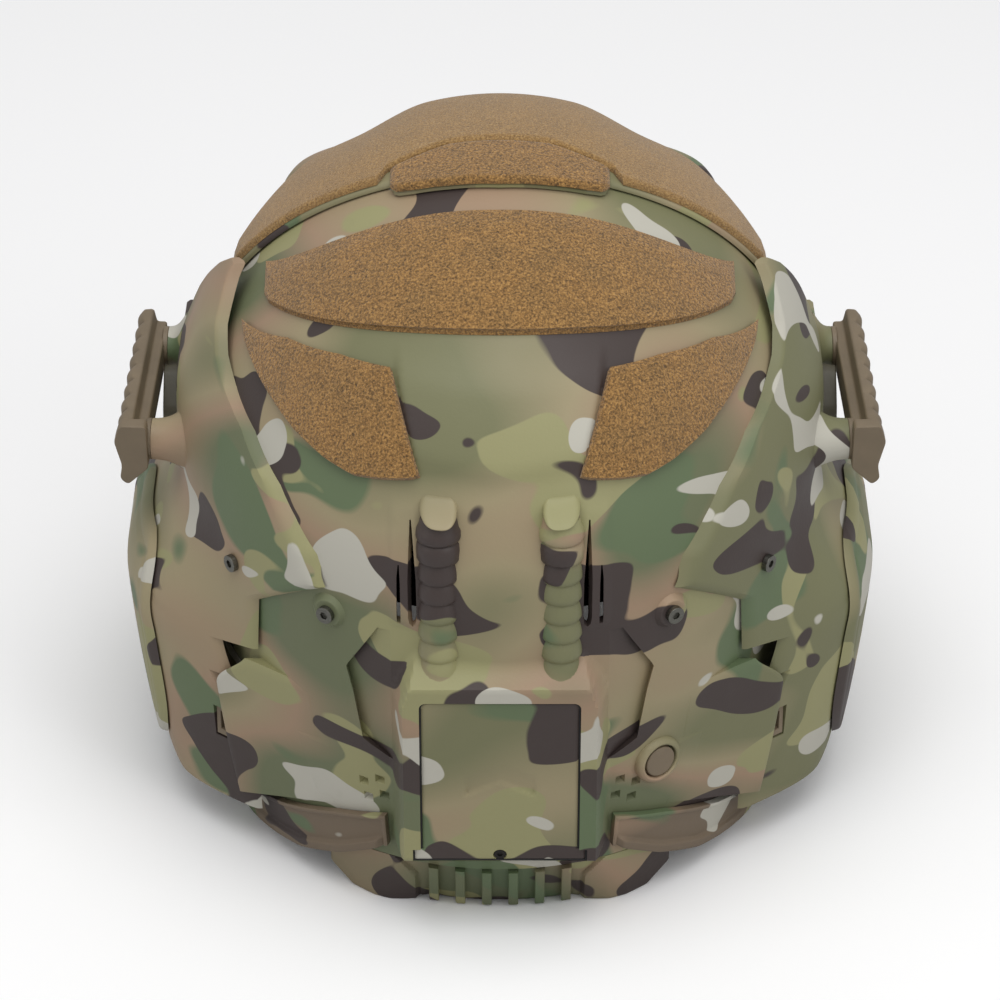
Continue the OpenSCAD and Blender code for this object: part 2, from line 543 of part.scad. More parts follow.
// Visor
visor_low = -25;
visor_high = 13.5;
module visor_sheet(x1, low, high, cols, rows, t0, t1) {
  function grid(t) = [for (i = [0 : rows]) let (a = mix(low, high, i / rows))
    [for (j = [0 : cols]) let (x = mix(-x1, x1, j / cols), r = visor_at(x, t))
    [x, pivot_y - r * cos(a), pivot_z + r * sin(a)]]];
  sheet(grid(t1), grid(t0));
}
module visor_frame() color(camo_dark) {
  difference() {
    visor_sheet(arm_in, visor_low, visor_high, 24, 5, 0, frame_t);
    visor_sheet(92, visor_low + 5, visor_high - 5, 20, 4, -4, 10);
    visor_sheet(97, visor_low + 2.8, visor_high - 2.8, 20, 4, -4, lens_t + 0.8);
  }
  left_right() difference() {
    hull() {
      translate([arm_in, pivot_y, pivot_z]) rotate([0, 90, 0]) cylinder(h = arm_t, r = 11, $fn = 32);
      translate([arm_in, pivot_y - 54, pivot_z - 24]) cube([arm_t, 3, 34]);
    }
    translate([100, pivot_y, pivot_z]) rotate([0, 90, 0]) cylinder(h = 20, r = 3.06, $fn = 32);
  }
}
module visor_lens() color([0.35, 0.24, 0.14, 0.6])
  visor_sheet(96.6, visor_low + 3, visor_high - 3, 20, 4, 0.5, 0.5 + lens_t);
module visor_gasket() color(black) difference() {
  visor_sheet(95, visor_low + 3.2, visor_high - 3.2, 18, 4, -3, 0.3);
  visor_sheet(89, visor_low + 6.5, visor_high - 6.5, 14, 3, -8, 6);
}
// Cap over a pin, drawn out upwards, grown by a gap
module hub(height, gap) hull() {
  cylinder(h = height, r1 = hub_r + gap, r2 = hub_r - 1 + gap, $fn = 40);
  translate([-9, -6, 0]) cylinder(h = height, r1 = 6.4 + gap, r2 = 5.4 + gap, $fn = 32);
}
module visor_pivots() color(sand) left_right() translate([0, pivot_y, pivot_z]) rotate([0, 90, 0]) {
  translate([0, 0, side_x(pivot_y, pivot_z) + 0.1]) hub(6.2, 0);
  translate([0, 0, 109.2]) cylinder(h = side_x(pivot_y, pivot_z) - 107, r = 3, $fn = 32);
}

// Fans
module fan_housing_left() color(black) on_fan() {
  difference() {
    translate([0, 0, -5]) cube([fan_w, fan_w, 10], center = true);
    translate([0, 0, -20]) cylinder(h = 40, r = fan_bore, $fn = 48);
  }
  translate([0, 0, -9.5]) difference() {
    union() {
      cylinder(h = 1.4, r = 6, center = true, $fn = 32);
      for (a = [30, 90, 150]) rotate([0, 0, a]) cube([2 * fan_bore + 2, 2, 1.4], center = true);
    }
    cylinder(h = 5, r = 1.56, center = true, $fn = 24);
  }
}
module fan_housing_right() mirror([1, 0, 0]) fan_housing_left();
module fan_rotor_left() color(foam_grey) on_fan() {
  translate([0, 0, -8.4]) cylinder(h = 6.6, r = 5.5, $fn = 32);
  translate([0, 0, -10.2]) cylinder(h = 3, r = 1.5, $fn = 24);
  for (i = [0 : fan_blades - 1]) rotate([0, 0, 360 * i / fan_blades]) translate([9.6, 0, -5.1])
    rotate([35, 0, 0]) cube([9, 7, 1], center = true);
}
module fan_rotor_right() mirror([1, 0, 0]) fan_rotor_left();

// Battery
module door_blank(gap, out) rotate([90, 0, 0]) translate([0, 0, -out]) linear_extrude(out + door_t + gap)
  polygon(concat(
    [for (p = round_rect(door_w + 2 * gap, door_h + 2 * gap, gap > 0 ? 1.2 : 2)) if (p[1] > 0) p],
    [[-door_w / 2 - gap, -door_h / 2], [-door_w / 2 - gap - 2.8, -door_h / 2],
    [-door_w / 2 - gap - 2.8, -door_h / 2 - lip_h - gap], [door_w / 2 + gap + 2.8, -door_h / 2 - lip_h - gap],
    [door_w / 2 + gap + 2.8, -door_h / 2], [door_w / 2 + gap, -door_h / 2]]));
module battery_door() color(camo) on_door() difference() {
  union() {
    translate([0, -0.2, 0]) door_blank(0, 0);
    translate([0, -1.7, hinge_z]) rotate([0, 90, 0])
      cylinder(h = door_w + 5, r = hinge_r, center = true, $fn = 32);
  }
  translate([0, -10, -door_h / 2 - door_screw_low]) rotate([-90, 0, 0]) cylinder(h = 20, r = 1.55, $fn = 32);
  translate([0, -1.4, -door_h / 2 - door_screw_low]) rotate([-90, 0, 0]) cylinder(h = 8, r = 2.2, $fn = 32);
}
module door_screw() color(steel) on_door()
  translate([0, -1.4, -door_h / 2 - door_screw_low]) rotate([-90, 0, 0]) difference() {
    union() {
      cylinder(h = 0.9, r = 2.1, $fn = 32);
      translate([0, 0, -6]) cylinder(h = 6, r = 1.5, $fn = 32);
    }
    translate([0, 0, 0.3]) cylinder(h = 2, r = 1, $fn = 6);
  }
module battery_tray() color(black) on_door() difference() {
  translate([-23.4, -26.4, -33.8]) cube([46.8, 22, 67.6]);
  translate([-21.4, -24.6, -32.8]) cube([42.8, 30, 65.6]);
}
module battery_cells() color([0.2, 0.45, 0.3]) on_door() for (x = [-10.6, 10.6])
  translate([x, -14.8, -cell_l / 2]) {
    cylinder(h = cell_l - 1.5, r = cell_d / 2, $fn = 48);
    translate([0, 0, cell_l - 1.5]) cylinder(h = 1.5, r = 3, $fn = 32);
  }

// Button and electronics
module power_button() color(sand) on_button() {
  translate([0, 0, -7.6]) cylinder(h = 8.4, r = button_r, $fn = 48);
  translate([0, 0, -7.9]) cylinder(h = 1.4, r = button_r + 1.6, $fn = 48);
  translate([0, 0, -10.5]) cylinder(h = 4, r = 2, $fn = 32);
}
module switch_body() color(black) on_button()
  translate([0, 0, -13.8 - button_travel]) cube([13, 13, 6], center = true);
module circuit_board() color([0.1, 0.3, 0.2]) on_button() {
  translate([0, 0, -19.4]) cube([34, 30, 1.6], center = true);
  for (x = [-14, 14]) translate([x, 0, -21]) cube([4, 18, 2], center = true);
}

// Liner
module cushion(a0, a1, z0, z1, depth) {
  function grid(k) = [for (i = [0 : 8]) [for (j = [0 : 8])
    let (u = abs(j - 4) / 4, v = abs(i - 4) / 4, a = mix(a1, a0, j / 8), z = mix(z0, z1, i / 8),
      crown = (1 - pow(u, 4)) * (1 - pow(v, 4)))
    wall(a, z, -wall_t - 1.4 - (k == 0 ? 0 : depth * (0.45 + 0.55 * crown)))]];
  color(foam_grey) sheet(grid(0), grid(1));
}
module crown_pad() {
  function grid(k) = [for (i = [0 : 8]) [for (j = [0 : 8])
    let (x = mix(42, -42, j / 8), y = mix(48, -52, i / 8), u = abs(j - 4) / 4, v = abs(i - 4) / 4)
    [x, y, top_z(x, y, -wall_t - 1.4)
      - (k == 0 ? 0 : 17 * (0.45 + 0.55 * (1 - pow(u, 4)) * (1 - pow(v, 4))))]]];
  color(foam_grey) sheet(grid(0), grid(1));
}
module front_pad() cushion(152, 208, 166, 198, 15);
module rear_pad() cushion(-30, 30, 172, 208, 15);
module side_pad_left() cushion(62, 104, 106, 152, 17);
module side_pad_right() mirror([1, 0, 0]) side_pad_left();
// Strap round the nape that the dial tightens
module nape_strap() {
  function grid(t) = [for (i = [0, 1]) [for (j = [0 : 20])
    let (a = mix(96, -96, j / 20), z = mix(112, dial_z - 9, pow(cos(a * 0.93), 2)) + 18 * i)
    [(89 + t) * sin(a), (82 + t) * cos(a), z]]];
  color(black) sheet(grid(1.6), grid(0));
}
module dial_housing() color(black) difference() {
  translate([0, 92.6, dial_z]) rotate([90, 0, 0]) linear_extrude(8.6) polygon(round_rect(56, 26, 8));
  translate([0, 80, dial_z]) rotate([-90, 0, 0]) cylinder(h = 20, r = 3.06, $fn = 32);
}
module dial_knob() color(camo_dark) translate([0, dial_y, dial_z]) rotate([-90, 0, 0]) {
  difference() {
    cylinder(h = 6, r = dial_r, $fn = 48);
    for (i = [0 : 11]) rotate([0, 0, 30 * i]) translate([dial_r + 1, 0, -1]) cylinder(h = 9, r = 2, $fn = 16);
  }
  translate([0, 0, -7]) cylinder(h = 7, r = 3, $fn = 32);
}

seat() rear_shell();
seat() front_shell();
seat() crown_cover();
seat() side_panel_left();
seat() side_panel_right();
seat() ear_cover_left();
seat() ear_cover_right();
seat() jaw_guard();
seat() jaw_grille();
seat() neck_guard();
seat() exhaust_scoop_left();
seat() exhaust_scoop_right();
seat() cable_sleeve_left();
seat() cable_sleeve_right();
seat() loop_crown();
seat() loop_tab();
seat() loop_rear_wide();
seat() loop_rear_left();
seat() loop_rear_right();
seat() side_rail_left();
seat() side_rail_right();
seat() rail_screws();
seat() shell_screws();
seat() side_hook_left();
seat() side_hook_right();
seat() visor_frame();
seat() visor_lens();
seat() visor_gasket();
seat() visor_pivots();
seat() fan_housing_left();
seat() fan_housing_right();
seat() fan_rotor_left();
seat() fan_rotor_right();
seat() battery_tray();
seat() battery_cells();
seat() battery_door();
seat() door_screw();
seat() power_button();
seat() switch_body();
seat() circuit_board();
seat() crown_pad();
seat() front_pad();
seat() rear_pad();
seat() side_pad_left();
seat() side_pad_right();
seat() nape_strap();
seat() dial_housing();
seat() dial_knob();
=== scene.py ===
import bpy
import bmesh
from math import acos, asin, copysign, cos, degrees, hypot, pi, radians, sin, sqrt, tan
from mathutils import Matrix, Vector
from mathutils.geometry import convex_hull_2d


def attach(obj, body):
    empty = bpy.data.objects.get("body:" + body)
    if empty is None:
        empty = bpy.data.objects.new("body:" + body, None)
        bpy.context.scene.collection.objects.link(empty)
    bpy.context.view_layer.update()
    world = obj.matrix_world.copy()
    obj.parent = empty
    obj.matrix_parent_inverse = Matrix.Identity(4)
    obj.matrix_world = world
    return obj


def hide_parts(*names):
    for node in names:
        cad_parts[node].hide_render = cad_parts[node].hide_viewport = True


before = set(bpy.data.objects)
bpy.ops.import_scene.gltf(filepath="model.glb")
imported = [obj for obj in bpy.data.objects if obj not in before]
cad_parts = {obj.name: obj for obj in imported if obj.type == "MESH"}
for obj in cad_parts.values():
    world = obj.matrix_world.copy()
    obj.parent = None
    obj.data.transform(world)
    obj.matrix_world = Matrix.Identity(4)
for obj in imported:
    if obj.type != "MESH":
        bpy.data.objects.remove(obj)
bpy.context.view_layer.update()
print("frame loaded")

seatY = 14.25  # mm that the dome's middle lies behind the frame's origin
pivot = (-16, 137)  # mm, y and z of the visor's pins
pinHole = 3.06  # mm, radius of the holes that they go through
sides = ((1, "left"), (-1, "right"))

dome = {  # mm, the shell's main sizes, as in the CAD
    "halfWidth": 113, "back": 125, "front": 119, "rise": 119, "ring": 137, "wall": 3,
    "rimWidth": 100, "rimBack": 112, "rimFront": 140, "cheekOut": 19.5,
}


# Shape of the shell: the same formulas as in the CAD, in mm from the dome's middle
def ease(t):
    t = min(1.0, max(0.0, t))
    return t * t * (3 - 2 * t)


def mix(a, b, t):
    return a + (b - a) * t


def root(v):
    return sqrt(max(0, v))


def lookup(x, points):
    if x <= points[0][0]:
        return points[0][1]
    for (x0, y0), (x1, y1) in zip(points, points[1:]):
        if x <= x1:
            return y0 + (y1 - y0) * (x - x0) / (x1 - x0)
    return points[-1][1]


# Drop of a rounded edge at the distance d from it
def rounded(d, radius):
    return radius * (1 - root(1 - (1 - min(1, max(0, d) / radius)) ** 2))


def skirt(z, top, rim):
    return top + (rim - top) * (1 - z / dome["ring"]) ** 2 if z < dome["ring"] else top


def climb(z, off):
    return (z - dome["ring"]) / (dome["rise"] + off) if z > dome["ring"] else 0.0


def wide(z, off=0):
    return skirt(z, dome["halfWidth"], dome["rimWidth"]) + off


def deep(z, off=0, back=True):
    if back:
        return skirt(z, dome["back"], dome["rimBack"]) + off
    return skirt(z, dome["front"], dome["rimFront"]) + off


# The two shallow dips beside the crown's middle
def dip(x, y):
    return 0.042 * ease(1 - abs(abs(x) - 50) / 24) * ease(-y / 45)


def wallPoint(angle, z, off=0):
    a = radians(angle)
    e = max(0, 1 - climb(z, off) ** 2)
    x, y = wide(z, off) * sin(a), deep(z, off, cos(a) > 0) * cos(a)
    if z > 185 and y < 0:
        e = max(0, e - dip(x * sqrt(e), y * sqrt(e)) * ease((z - 185) / 25))
    e = sqrt(e)
    return Vector((x * e, y * e, z))


def backY(x, z, off=0):
    return deep(z, off) * root(1 - (x / wide(z, off)) ** 2 - climb(z, off) ** 2)


def topZ(x, y, off=0):
    d = (dome["back"] if y > 0 else dome["front"]) + off
    flat = (x / (dome["halfWidth"] + off)) ** 2
    return dome["ring"] + (dome["rise"] + off) * root(1 - flat - (y / d) ** 2 - dip(x, y))


def sideX(y, z, off=0):
    flat = 1 - ease(y / 60)
    out = 3.4 + 1.8 * flat + dome["cheekOut"] * ease((138 - z) / 52) * ease((86 - y) / 42) + off
    upright = mix(16, 8, ease((z - 165) / 22)) * flat
    up = max(0, z - dome["ring"] - upright) / (dome["rise"] + out)
    reach = skirt(z, dome["halfWidth"], dome["rimWidth"]) + out
    return reach * root(1 - (max(y, 0) / deep(z, out)) ** 2 - up * up)


def seated(p):
    return Vector((p[0], p[1] + seatY, p[2])) * 0.001


def unseated(p):
    return p.x * 1000, p.y * 1000 - seatY, p.z * 1000


def steps(low, high, step):
    count = max(1, round(abs(high - low) / step))
    return [mix(low, high, i / count) for i in range(count + 1)]


def parts(count):
    return [i / count for i in range(count + 1)]


# Heights of a shell's rows: evenly up to the ring, then by angle over the dome
def domeLevels(upright, turned):
    return steps(*upright) + [dome["ring"] + dome["rise"] * sin(radians(t)) for t in steps(*turned)]


# Height of the lining behind a row of the shell
def liningZ(z):
    if z <= dome["ring"]:
        return z
    return dome["ring"] + (z - dome["ring"]) * (dome["rise"] - dome["wall"]) / dome["rise"]


# Places on the object: a shift in mm, then turns in degrees
def place(move, *turns):
    m = Matrix.Translation(Vector(move))
    for axis, angle in turns:
        m = m @ Matrix.Rotation(radians(angle), 4, axis)
    return m


# On the wall, with z pointing out of it
def outOf(side, x, y, z, turn):
    return place((side * x, y, z), ("Z", -turn * side), ("X", -90))


# For outlines drawn in y and z, with their depth along x
def sideways(side=1):
    return Matrix(((0, side, 0, 0), (1, 0, 0, 0), (0, 0, 1, 0), (0, 0, 0, 1)))


# Adds a closed sheet; pair gives its outer and its inner point in mm for each row and column
def addSheet(bm, rows, cols, pair):
    grid = [[pair(r, c) for c in cols] for r in rows]
    skin = [[bm.verts.new(seated(p[0])) for p in row] for row in grid]
    lining = [[bm.verts.new(seated(p[1])) for p in row] for row in grid]
    down, along = range(len(grid) - 1), range(len(grid[0]) - 1)
    for i in down:
        for j in along:
            bm.faces.new((skin[i][j], skin[i][j + 1], skin[i + 1][j + 1], skin[i + 1][j]))
            bm.faces.new((lining[i][j], lining[i + 1][j], lining[i + 1][j + 1], lining[i][j + 1]))
    for j in along:
        bm.faces.new((skin[0][j], lining[0][j], lining[0][j + 1], skin[0][j + 1]))
        bm.faces.new((skin[-1][j], skin[-1][j + 1], lining[-1][j + 1], lining[-1][j]))
    for i in down:
        bm.faces.new((skin[i][0], skin[i + 1][0], lining[i + 1][0], lining[i][0]))
        bm.faces.new((skin[i][-1], lining[i][-1], lining[i + 1][-1], skin[i + 1][-1]))


def boxAt(bm, low, high, spot=Matrix()):
    out = bmesh.ops.create_cube(bm, size=1)
    size = [b - a for a, b in zip(low, high)]
    mid = [(a + b) / 2 for a, b in zip(low, high)]
    for v in out["verts"]:
        v.co = seated(spot @ Vector([m + c * d for m, c, d in zip(mid, v.co, size)]))


# Round bar along the spot's z from z0 to z1, in mm
def barAt(bm, r0, r1, z0, z1, spot, segments=48):
    out = bmesh.ops.create_cone(bm, cap_ends=True, segments=segments, radius1=r0, radius2=r1, depth=z1 - z0)
    for v in out["verts"]:
        v.co = seated(spot @ Vector((v.co.x, v.co.y, v.co.z + (z0 + z1) / 2)))


def loopAt(bm, outline, y, spot):
    return [bm.verts.new(seated(spot @ Vector((x, y, z)))) for x, z in outline]


# Prism of an outline in the spot's x and z, from y0 to y1
def prismAt(bm, outline, y0, y1, spot=Matrix()):
    a, b = loopAt(bm, outline, y0, spot), loopAt(bm, outline, y1, spot)
    n = len(outline)
    bm.faces.new(a)
    bm.faces.new(b[::-1])
    for i in range(n):
        bm.faces.new((a[i], b[i], b[(i + 1) % n], a[(i + 1) % n]))


# Closed ring between two outlines in the spot's x and z, from y0 to y1
def ringAt(bm, outside, inside, y0, y1, spot):
    loops = [loopAt(bm, outline, y, spot)
             for outline, y in ((outside, y0), (outside, y1), (inside, y1), (inside, y0))]
    n = len(outside)
    for k in range(4):
        a, b = loops[k], loops[(k + 1) % 4]
        for i in range(n):
            bm.faces.new((a[i], a[(i + 1) % n], b[(i + 1) % n], b[i]))


# Closed shape through a row of rings with equal counts of points
def loft(bm, loops):
    rings = [[bm.verts.new(seated(p)) for p in loop] for loop in loops]
    for low, high in zip(rings, rings[1:]):
        for k in range(len(low)):
            n = (k + 1) % len(low)
            bm.faces.new((low[k], low[n], high[n], high[k]))
    bm.faces.new(rings[0][::-1])
    bm.faces.new(rings[-1])
    return rings


# Turned shape: a profile of radius and height spun round the spot's z
def latheAt(bm, profile, spot, segments=64):
    turn = [2 * pi * k / segments for k in range(segments)]
    return loft(bm, [[spot @ Vector((r * cos(a), r * sin(a), h)) for a in turn] for r, h in profile])


# New bmesh with one shape in it
def shape(maker, *values):
    bm = bmesh.new()
    maker(bm, *values)
    return bm


def circlePoints(x, z, r, count=40):
    turn = [2 * pi * k / count for k in range(count)]
    return [(x + r * cos(a), z + r * sin(a)) for a in turn]


def convexOutline(points):
    return [points[i] for i in convex_hull_2d([Vector(p) for p in points])]


# Path with its corners rounded
def roundedPath(points, radius, count=4):
    path = []
    for i, point in enumerate(points):
        a, b, c = Vector(points[i - 1]), Vector(point), Vector(points[(i + 1) % len(points)])
        r = min(radius, (a - b).length * 0.45, (c - b).length * 0.45)
        p, q = b + (a - b).normalized() * r, b + (c - b).normalized() * r
        path += [tuple((1 - t) ** 2 * p + 2 * t * (1 - t) * b + t * t * q) for t in parts(count)]
    return path


def newObject(name, data):
    made = bpy.data.objects.new(name, data)
    bpy.context.scene.collection.objects.link(made)
    return made


def setAngle(mesh, angle):
    bm = bmesh.new()
    bm.from_mesh(mesh)
    for e in bm.edges:
        e.smooth = len(e.link_faces) != 2 or e.calc_face_angle(0) < radians(angle)
    bm.to_mesh(mesh)
    bm.free()


# The piece is built in the CAD node's place, hides that node and gets the named finish
def newPiece(name, bm, finish, node, sharp=40, body="helmet"):
    bmesh.ops.remove_doubles(bm, verts=bm.verts, dist=2e-6)
    # the wall that is left inside where the two ends of a sheet meet
    walls = [f for f in bm.faces if sum(len(e.link_faces) > 2 for e in f.edges) > 1]
    bmesh.ops.delete(bm, geom=walls, context="FACES")
    bm.normal_update()
    bmesh.ops.recalc_face_normals(bm, faces=bm.faces)
    for f in bm.faces:
        f.smooth = True
    mesh = bpy.data.meshes.new(name)
    bm.to_mesh(mesh)
    bm.free()
    setAngle(mesh, sharp)
    mesh.materials.append(materials[finish])
    piece = newObject(name, mesh)
    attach(piece, body)
    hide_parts(node)
    return piece


def softEdge(piece, width, angle=40):
    bevel = piece.modifiers.new("soft edge", "BEVEL")
    bevel.width = width * 0.001
    bevel.segments = 2
    bevel.limit_method = "ANGLE"
    bevel.angle_limit = radians(angle)
    bevel.harden_normals = True


def applyModifiers(piece, sharp):
    graph = bpy.context.evaluated_depsgraph_get()
    mesh = bpy.data.meshes.new_from_object(piece.evaluated_get(graph))
    piece.modifiers.clear()
    piece.data = mesh
    setAngle(mesh, sharp)


# Cuts closed shapes, each a bmesh in metres, out of a piece
def cutAway(piece, cutters, sharp=40):
    made = []
    for bm in cutters:
        bm.normal_update()
        bmesh.ops.recalc_face_normals(bm, faces=bm.faces)
        mesh = bpy.data.meshes.new("cutter")
        bm.to_mesh(mesh)
        bm.free()
        made.append(newObject("cutter", mesh))
        cut = piece.modifiers.new("cut", "BOOLEAN")
        cut.operation = "DIFFERENCE"
        cut.solver = "EXACT"
        cut.object = made[-1]
    applyModifiers(piece, sharp)
    for cutter in made:
        mesh = cutter.data
        bpy.data.objects.remove(cutter)
        bpy.data.meshes.remove(mesh)


# Mirrors pieces made for the left side when they are the right one's
def flip(side, *pieces):
    for piece in pieces if side < 0 else ():
        bm = bmesh.new()
        bm.from_mesh(piece.data)
        for v in bm.verts:
            v.co.x = -v.co.x
        bmesh.ops.reverse_faces(bm, faces=bm.faces)
        bm.to_mesh(piece.data)
        bm.free()


# The CAD node's mesh with its doubles merged
def nodeShape(node):
    bm = bmesh.new()
    bm.from_mesh(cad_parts[node].data)
    bmesh.ops.remove_doubles(bm, verts=bm.verts, dist=2e-6)
    return bm


# Copy of a CAD node with merged faces and rounded edges
def softCopy(node, finish, width, body="helmet"):
    bm = nodeShape(node)
    bmesh.ops.dissolve_limit(bm, angle_limit=radians(0.8), verts=bm.verts, edges=bm.edges)
    softEdge(newPiece(node + "_finish", bm, finish, node, 30, body), width, 35)


# Finishes
def linear(*colour):
    scaled = [c / 255 for c in colour]
    return tuple(c / 12.92 if c < 0.04045 else ((c + 0.055) / 1.055) ** 2.4 for c in scaled) + (1.0,)


# Links the sockets among a node's values and sets the others
def feed(tree, node, values):
    for name, value in values.items():
        if isinstance(value, bpy.types.NodeSocket):
            tree.links.new(value, node.inputs[name])
        else:
            node.inputs[name].default_value = value
    return node


# New material; kind makes the shader's values in its node tree
def newFinish(name, kind, *values):
    material = bpy.data.materials.new(name)
    material.use_nodes = True
    tree = material.node_tree
    feed(tree, tree.nodes["Principled BSDF"], kind(tree, *values))
    return material


def addNode(tree, kind, values, **settings):
    node = tree.nodes.new("ShaderNode" + kind)
    for name, value in settings.items():
        setattr(node, name, value)
    return feed(tree, node, values)


def mapped(tree, scale=(1, 1, 1), move=(0, 0, 0)):
    coord = tree.nodes.new("ShaderNodeTexCoord").outputs["Object"]
    return addNode(tree, "Mapping", {"Vector": coord, "Scale": scale, "Location": move}).outputs["Vector"]


def noiseOn(tree, scale, detail=2.0, roughness=0.5, bend=0.0, vector=None):
    values = {"Vector": vector or mapped(tree), "Scale": scale, "Detail": detail, "Roughness": roughness,
              "Distortion": bend}
    return addNode(tree, "TexNoise", values).outputs["Fac"]


def ramp(tree, fac, stops):
    r = addNode(tree, "ValToRGB", {"Fac": fac})
    elements = r.color_ramp.elements
    while len(elements) < len(stops):
        elements.new(0.5)
    for e, (at, colour) in zip(elements, stops):
        e.position = at
        e.color = colour
    return r.outputs["Color"]


def twoTone(tree, fac, dark, light):
    return ramp(tree, fac, [(0.3, dark), (0.7, light)])


def spread(tree, fac, low, high, toLow=0.0, toHigh=1.0):
    values = {"Value": fac, "From Min": low, "From Max": high, "To Min": toLow, "To Max": toHigh}
    return addNode(tree, "MapRange", values).outputs["Result"]


def over(tree, below, above, fac, blend="MIX"):
    return addNode(tree, "Mix", {0: fac, 6: below, 7: above}, data_type="RGBA", blend_type=blend).outputs[2]


def bumpFrom(tree, height, strength, distance):
    return addNode(tree, "Bump", {"Strength": strength, "Distance": distance, "Height": height}).outputs["Normal"]


def shaded(colour, factor, lift=0.0):
    return tuple(min(1, c * factor + lift) for c in colour[:3]) + (1,)


camoLook = {  # sRGB colours; a layer has its tone, shift, scale, detail, bend and the noise at its edge
    "khaki": (155, 143, 112), "olive": (118, 118, 86), "pinkTan": (158, 133, 109), "moss": (106, 112, 83),
    "lightGreen": (150, 147, 106), "green": (98, 113, 82), "brown": (66, 56, 53), "pale": (186, 183, 171),
    "drab": (116, 101, 83), "dust": (120, 112, 92), "field": ((0, 0, 0), 8.0, 1.0, 0.3),
    "fieldStops": (0.38, 0.47, 0.55, 0.64), "stretch": 1.5,
    "layers": [
        ("green", ((3.1, 0, 0), 17.0, 1.0, 0.4), (0.6, 0.625)),
        ("lightGreen", ((0, 5.7, 0), 22.0, 0.6, 0.4), (0.625, 0.632)),
        ("brown", ((0, 0, 7.3), 21.0, 1.2, 0.5), (0.595, 0.601)),
        ("pale", ((9.4, 2.2, 0), 33.0, 0.0, 0.2), (0.695, 0.701)),
    ],
}


def camouflage(tree, shift=(0, 0, 0), roughness=0.5, tones=("olive", "khaki", "pinkTan", "moss")):
    look = camoLook

    def patches(move, scale, detail, bend):
        vector = mapped(tree, (1, 1, look["stretch"]), tuple(a + b for a, b in zip(shift, move)))
        return noiseOn(tree, scale, detail, 0.4, bend, vector)
    stops = [(at, linear(*look[tone])) for at, tone in zip(look["fieldStops"], tones)]
    colour = ramp(tree, patches(*look["field"]), stops)
    for tone, layer, edge in look["layers"]:
        colour = over(tree, colour, linear(*look[tone]), spread(tree, patches(*layer), *edge))
    cloudy = noiseOn(tree, 60.0, 3.0, 0.6)
    return {
        "Base Color": over(tree, colour, linear(*look["dust"]), spread(tree, cloudy, 0.65, 2.1)),
        "Roughness": spread(tree, cloudy, 0.0, 1.0, roughness - 0.06, roughness + 0.08),
        "Normal": bumpFrom(tree, noiseOn(tree, 900.0, 2.0, 0.6), 0.12, 0.0004),
        "Specular IOR Level": 0.4,
    }


def plainPlastic(tree, colour, roughness=0.5, gloss=0.5, grain=700.0, strength=0.15, metallic=0.0):
    colour = linear(*colour)
    cloudy = noiseOn(tree, 45.0, 4.0, 0.6)
    return {
        "Base Color": twoTone(tree, cloudy, shaded(colour, 0.88), shaded(colour, 1.12, 0.003)),
        "Roughness": spread(tree, cloudy, 0.0, 1.0, roughness - 0.07, roughness + 0.07),
        "Normal": bumpFrom(tree, noiseOn(tree, grain, 2.0, 0.6), strength, 0.0004),
        "Metallic": metallic, "Specular IOR Level": gloss,
    }


def loopFabric(tree, light, mid, dark, scale):
    light, mid, dark = linear(*light), linear(*mid), linear(*dark)
    grains = noiseOn(tree, scale, 3.0, 0.7, 0.4)
    colour = ramp(tree, grains, [(0.34, dark), (0.5, mid), (0.66, light)])
    tint = twoTone(tree, noiseOn(tree, 90.0), dark, light)
    return {
        "Base Color": over(tree, colour, tint, 0.25, "SOFT_LIGHT"), "Roughness": 0.92, "Sheen Weight": 0.25,
        "Sheen Roughness": 0.5, "Normal": bumpFrom(tree, grains, 0.8, 0.0009),
    }


def knitFabric(tree, colour):
    colour, vector = linear(*colour), mapped(tree)
    ribs = {"Vector": vector, "Scale": 320.0, "Distortion": 1.5}
    waves = [addNode(tree, "TexWave", ribs, bands_direction=axis).outputs["Fac"] for axis in "XZ"]
    knit = addNode(tree, "Math", dict(enumerate(waves)), operation="MULTIPLY").outputs["Value"]
    cloudy = noiseOn(tree, 50.0, 3.0, vector=vector)
    return {
        "Base Color": twoTone(tree, cloudy, shaded(colour, 0.75), shaded(colour, 1.5, 0.01)), "Roughness": 0.95,
        "Sheen Weight": 0.3, "Normal": bumpFrom(tree, knit, 0.5, 0.0006),
    }


def brushedSteel(tree):
    streaks = noiseOn(tree, 400.0, vector=mapped(tree, (1, 1, 30)))
    return {
        "Base Color": twoTone(tree, streaks, linear(92, 92, 86), linear(128, 127, 120)), "Metallic": 1.0,
        "Roughness": 0.38, "Normal": bumpFrom(tree, streaks, 0.1, 0.0002),
    }


def tintedLens(tree):
    cloudy, smear = noiseOn(tree, 8.0), noiseOn(tree, 30.0, 3.0)
    return {
        "Base Color": twoTone(tree, cloudy, linear(120, 92, 60), linear(134, 104, 70)), "Roughness": 0.06,
        "Alpha": 0.55, "Coat Weight": 0.5, "Normal": bumpFrom(tree, smear, 0.03, 0.0005),
    }


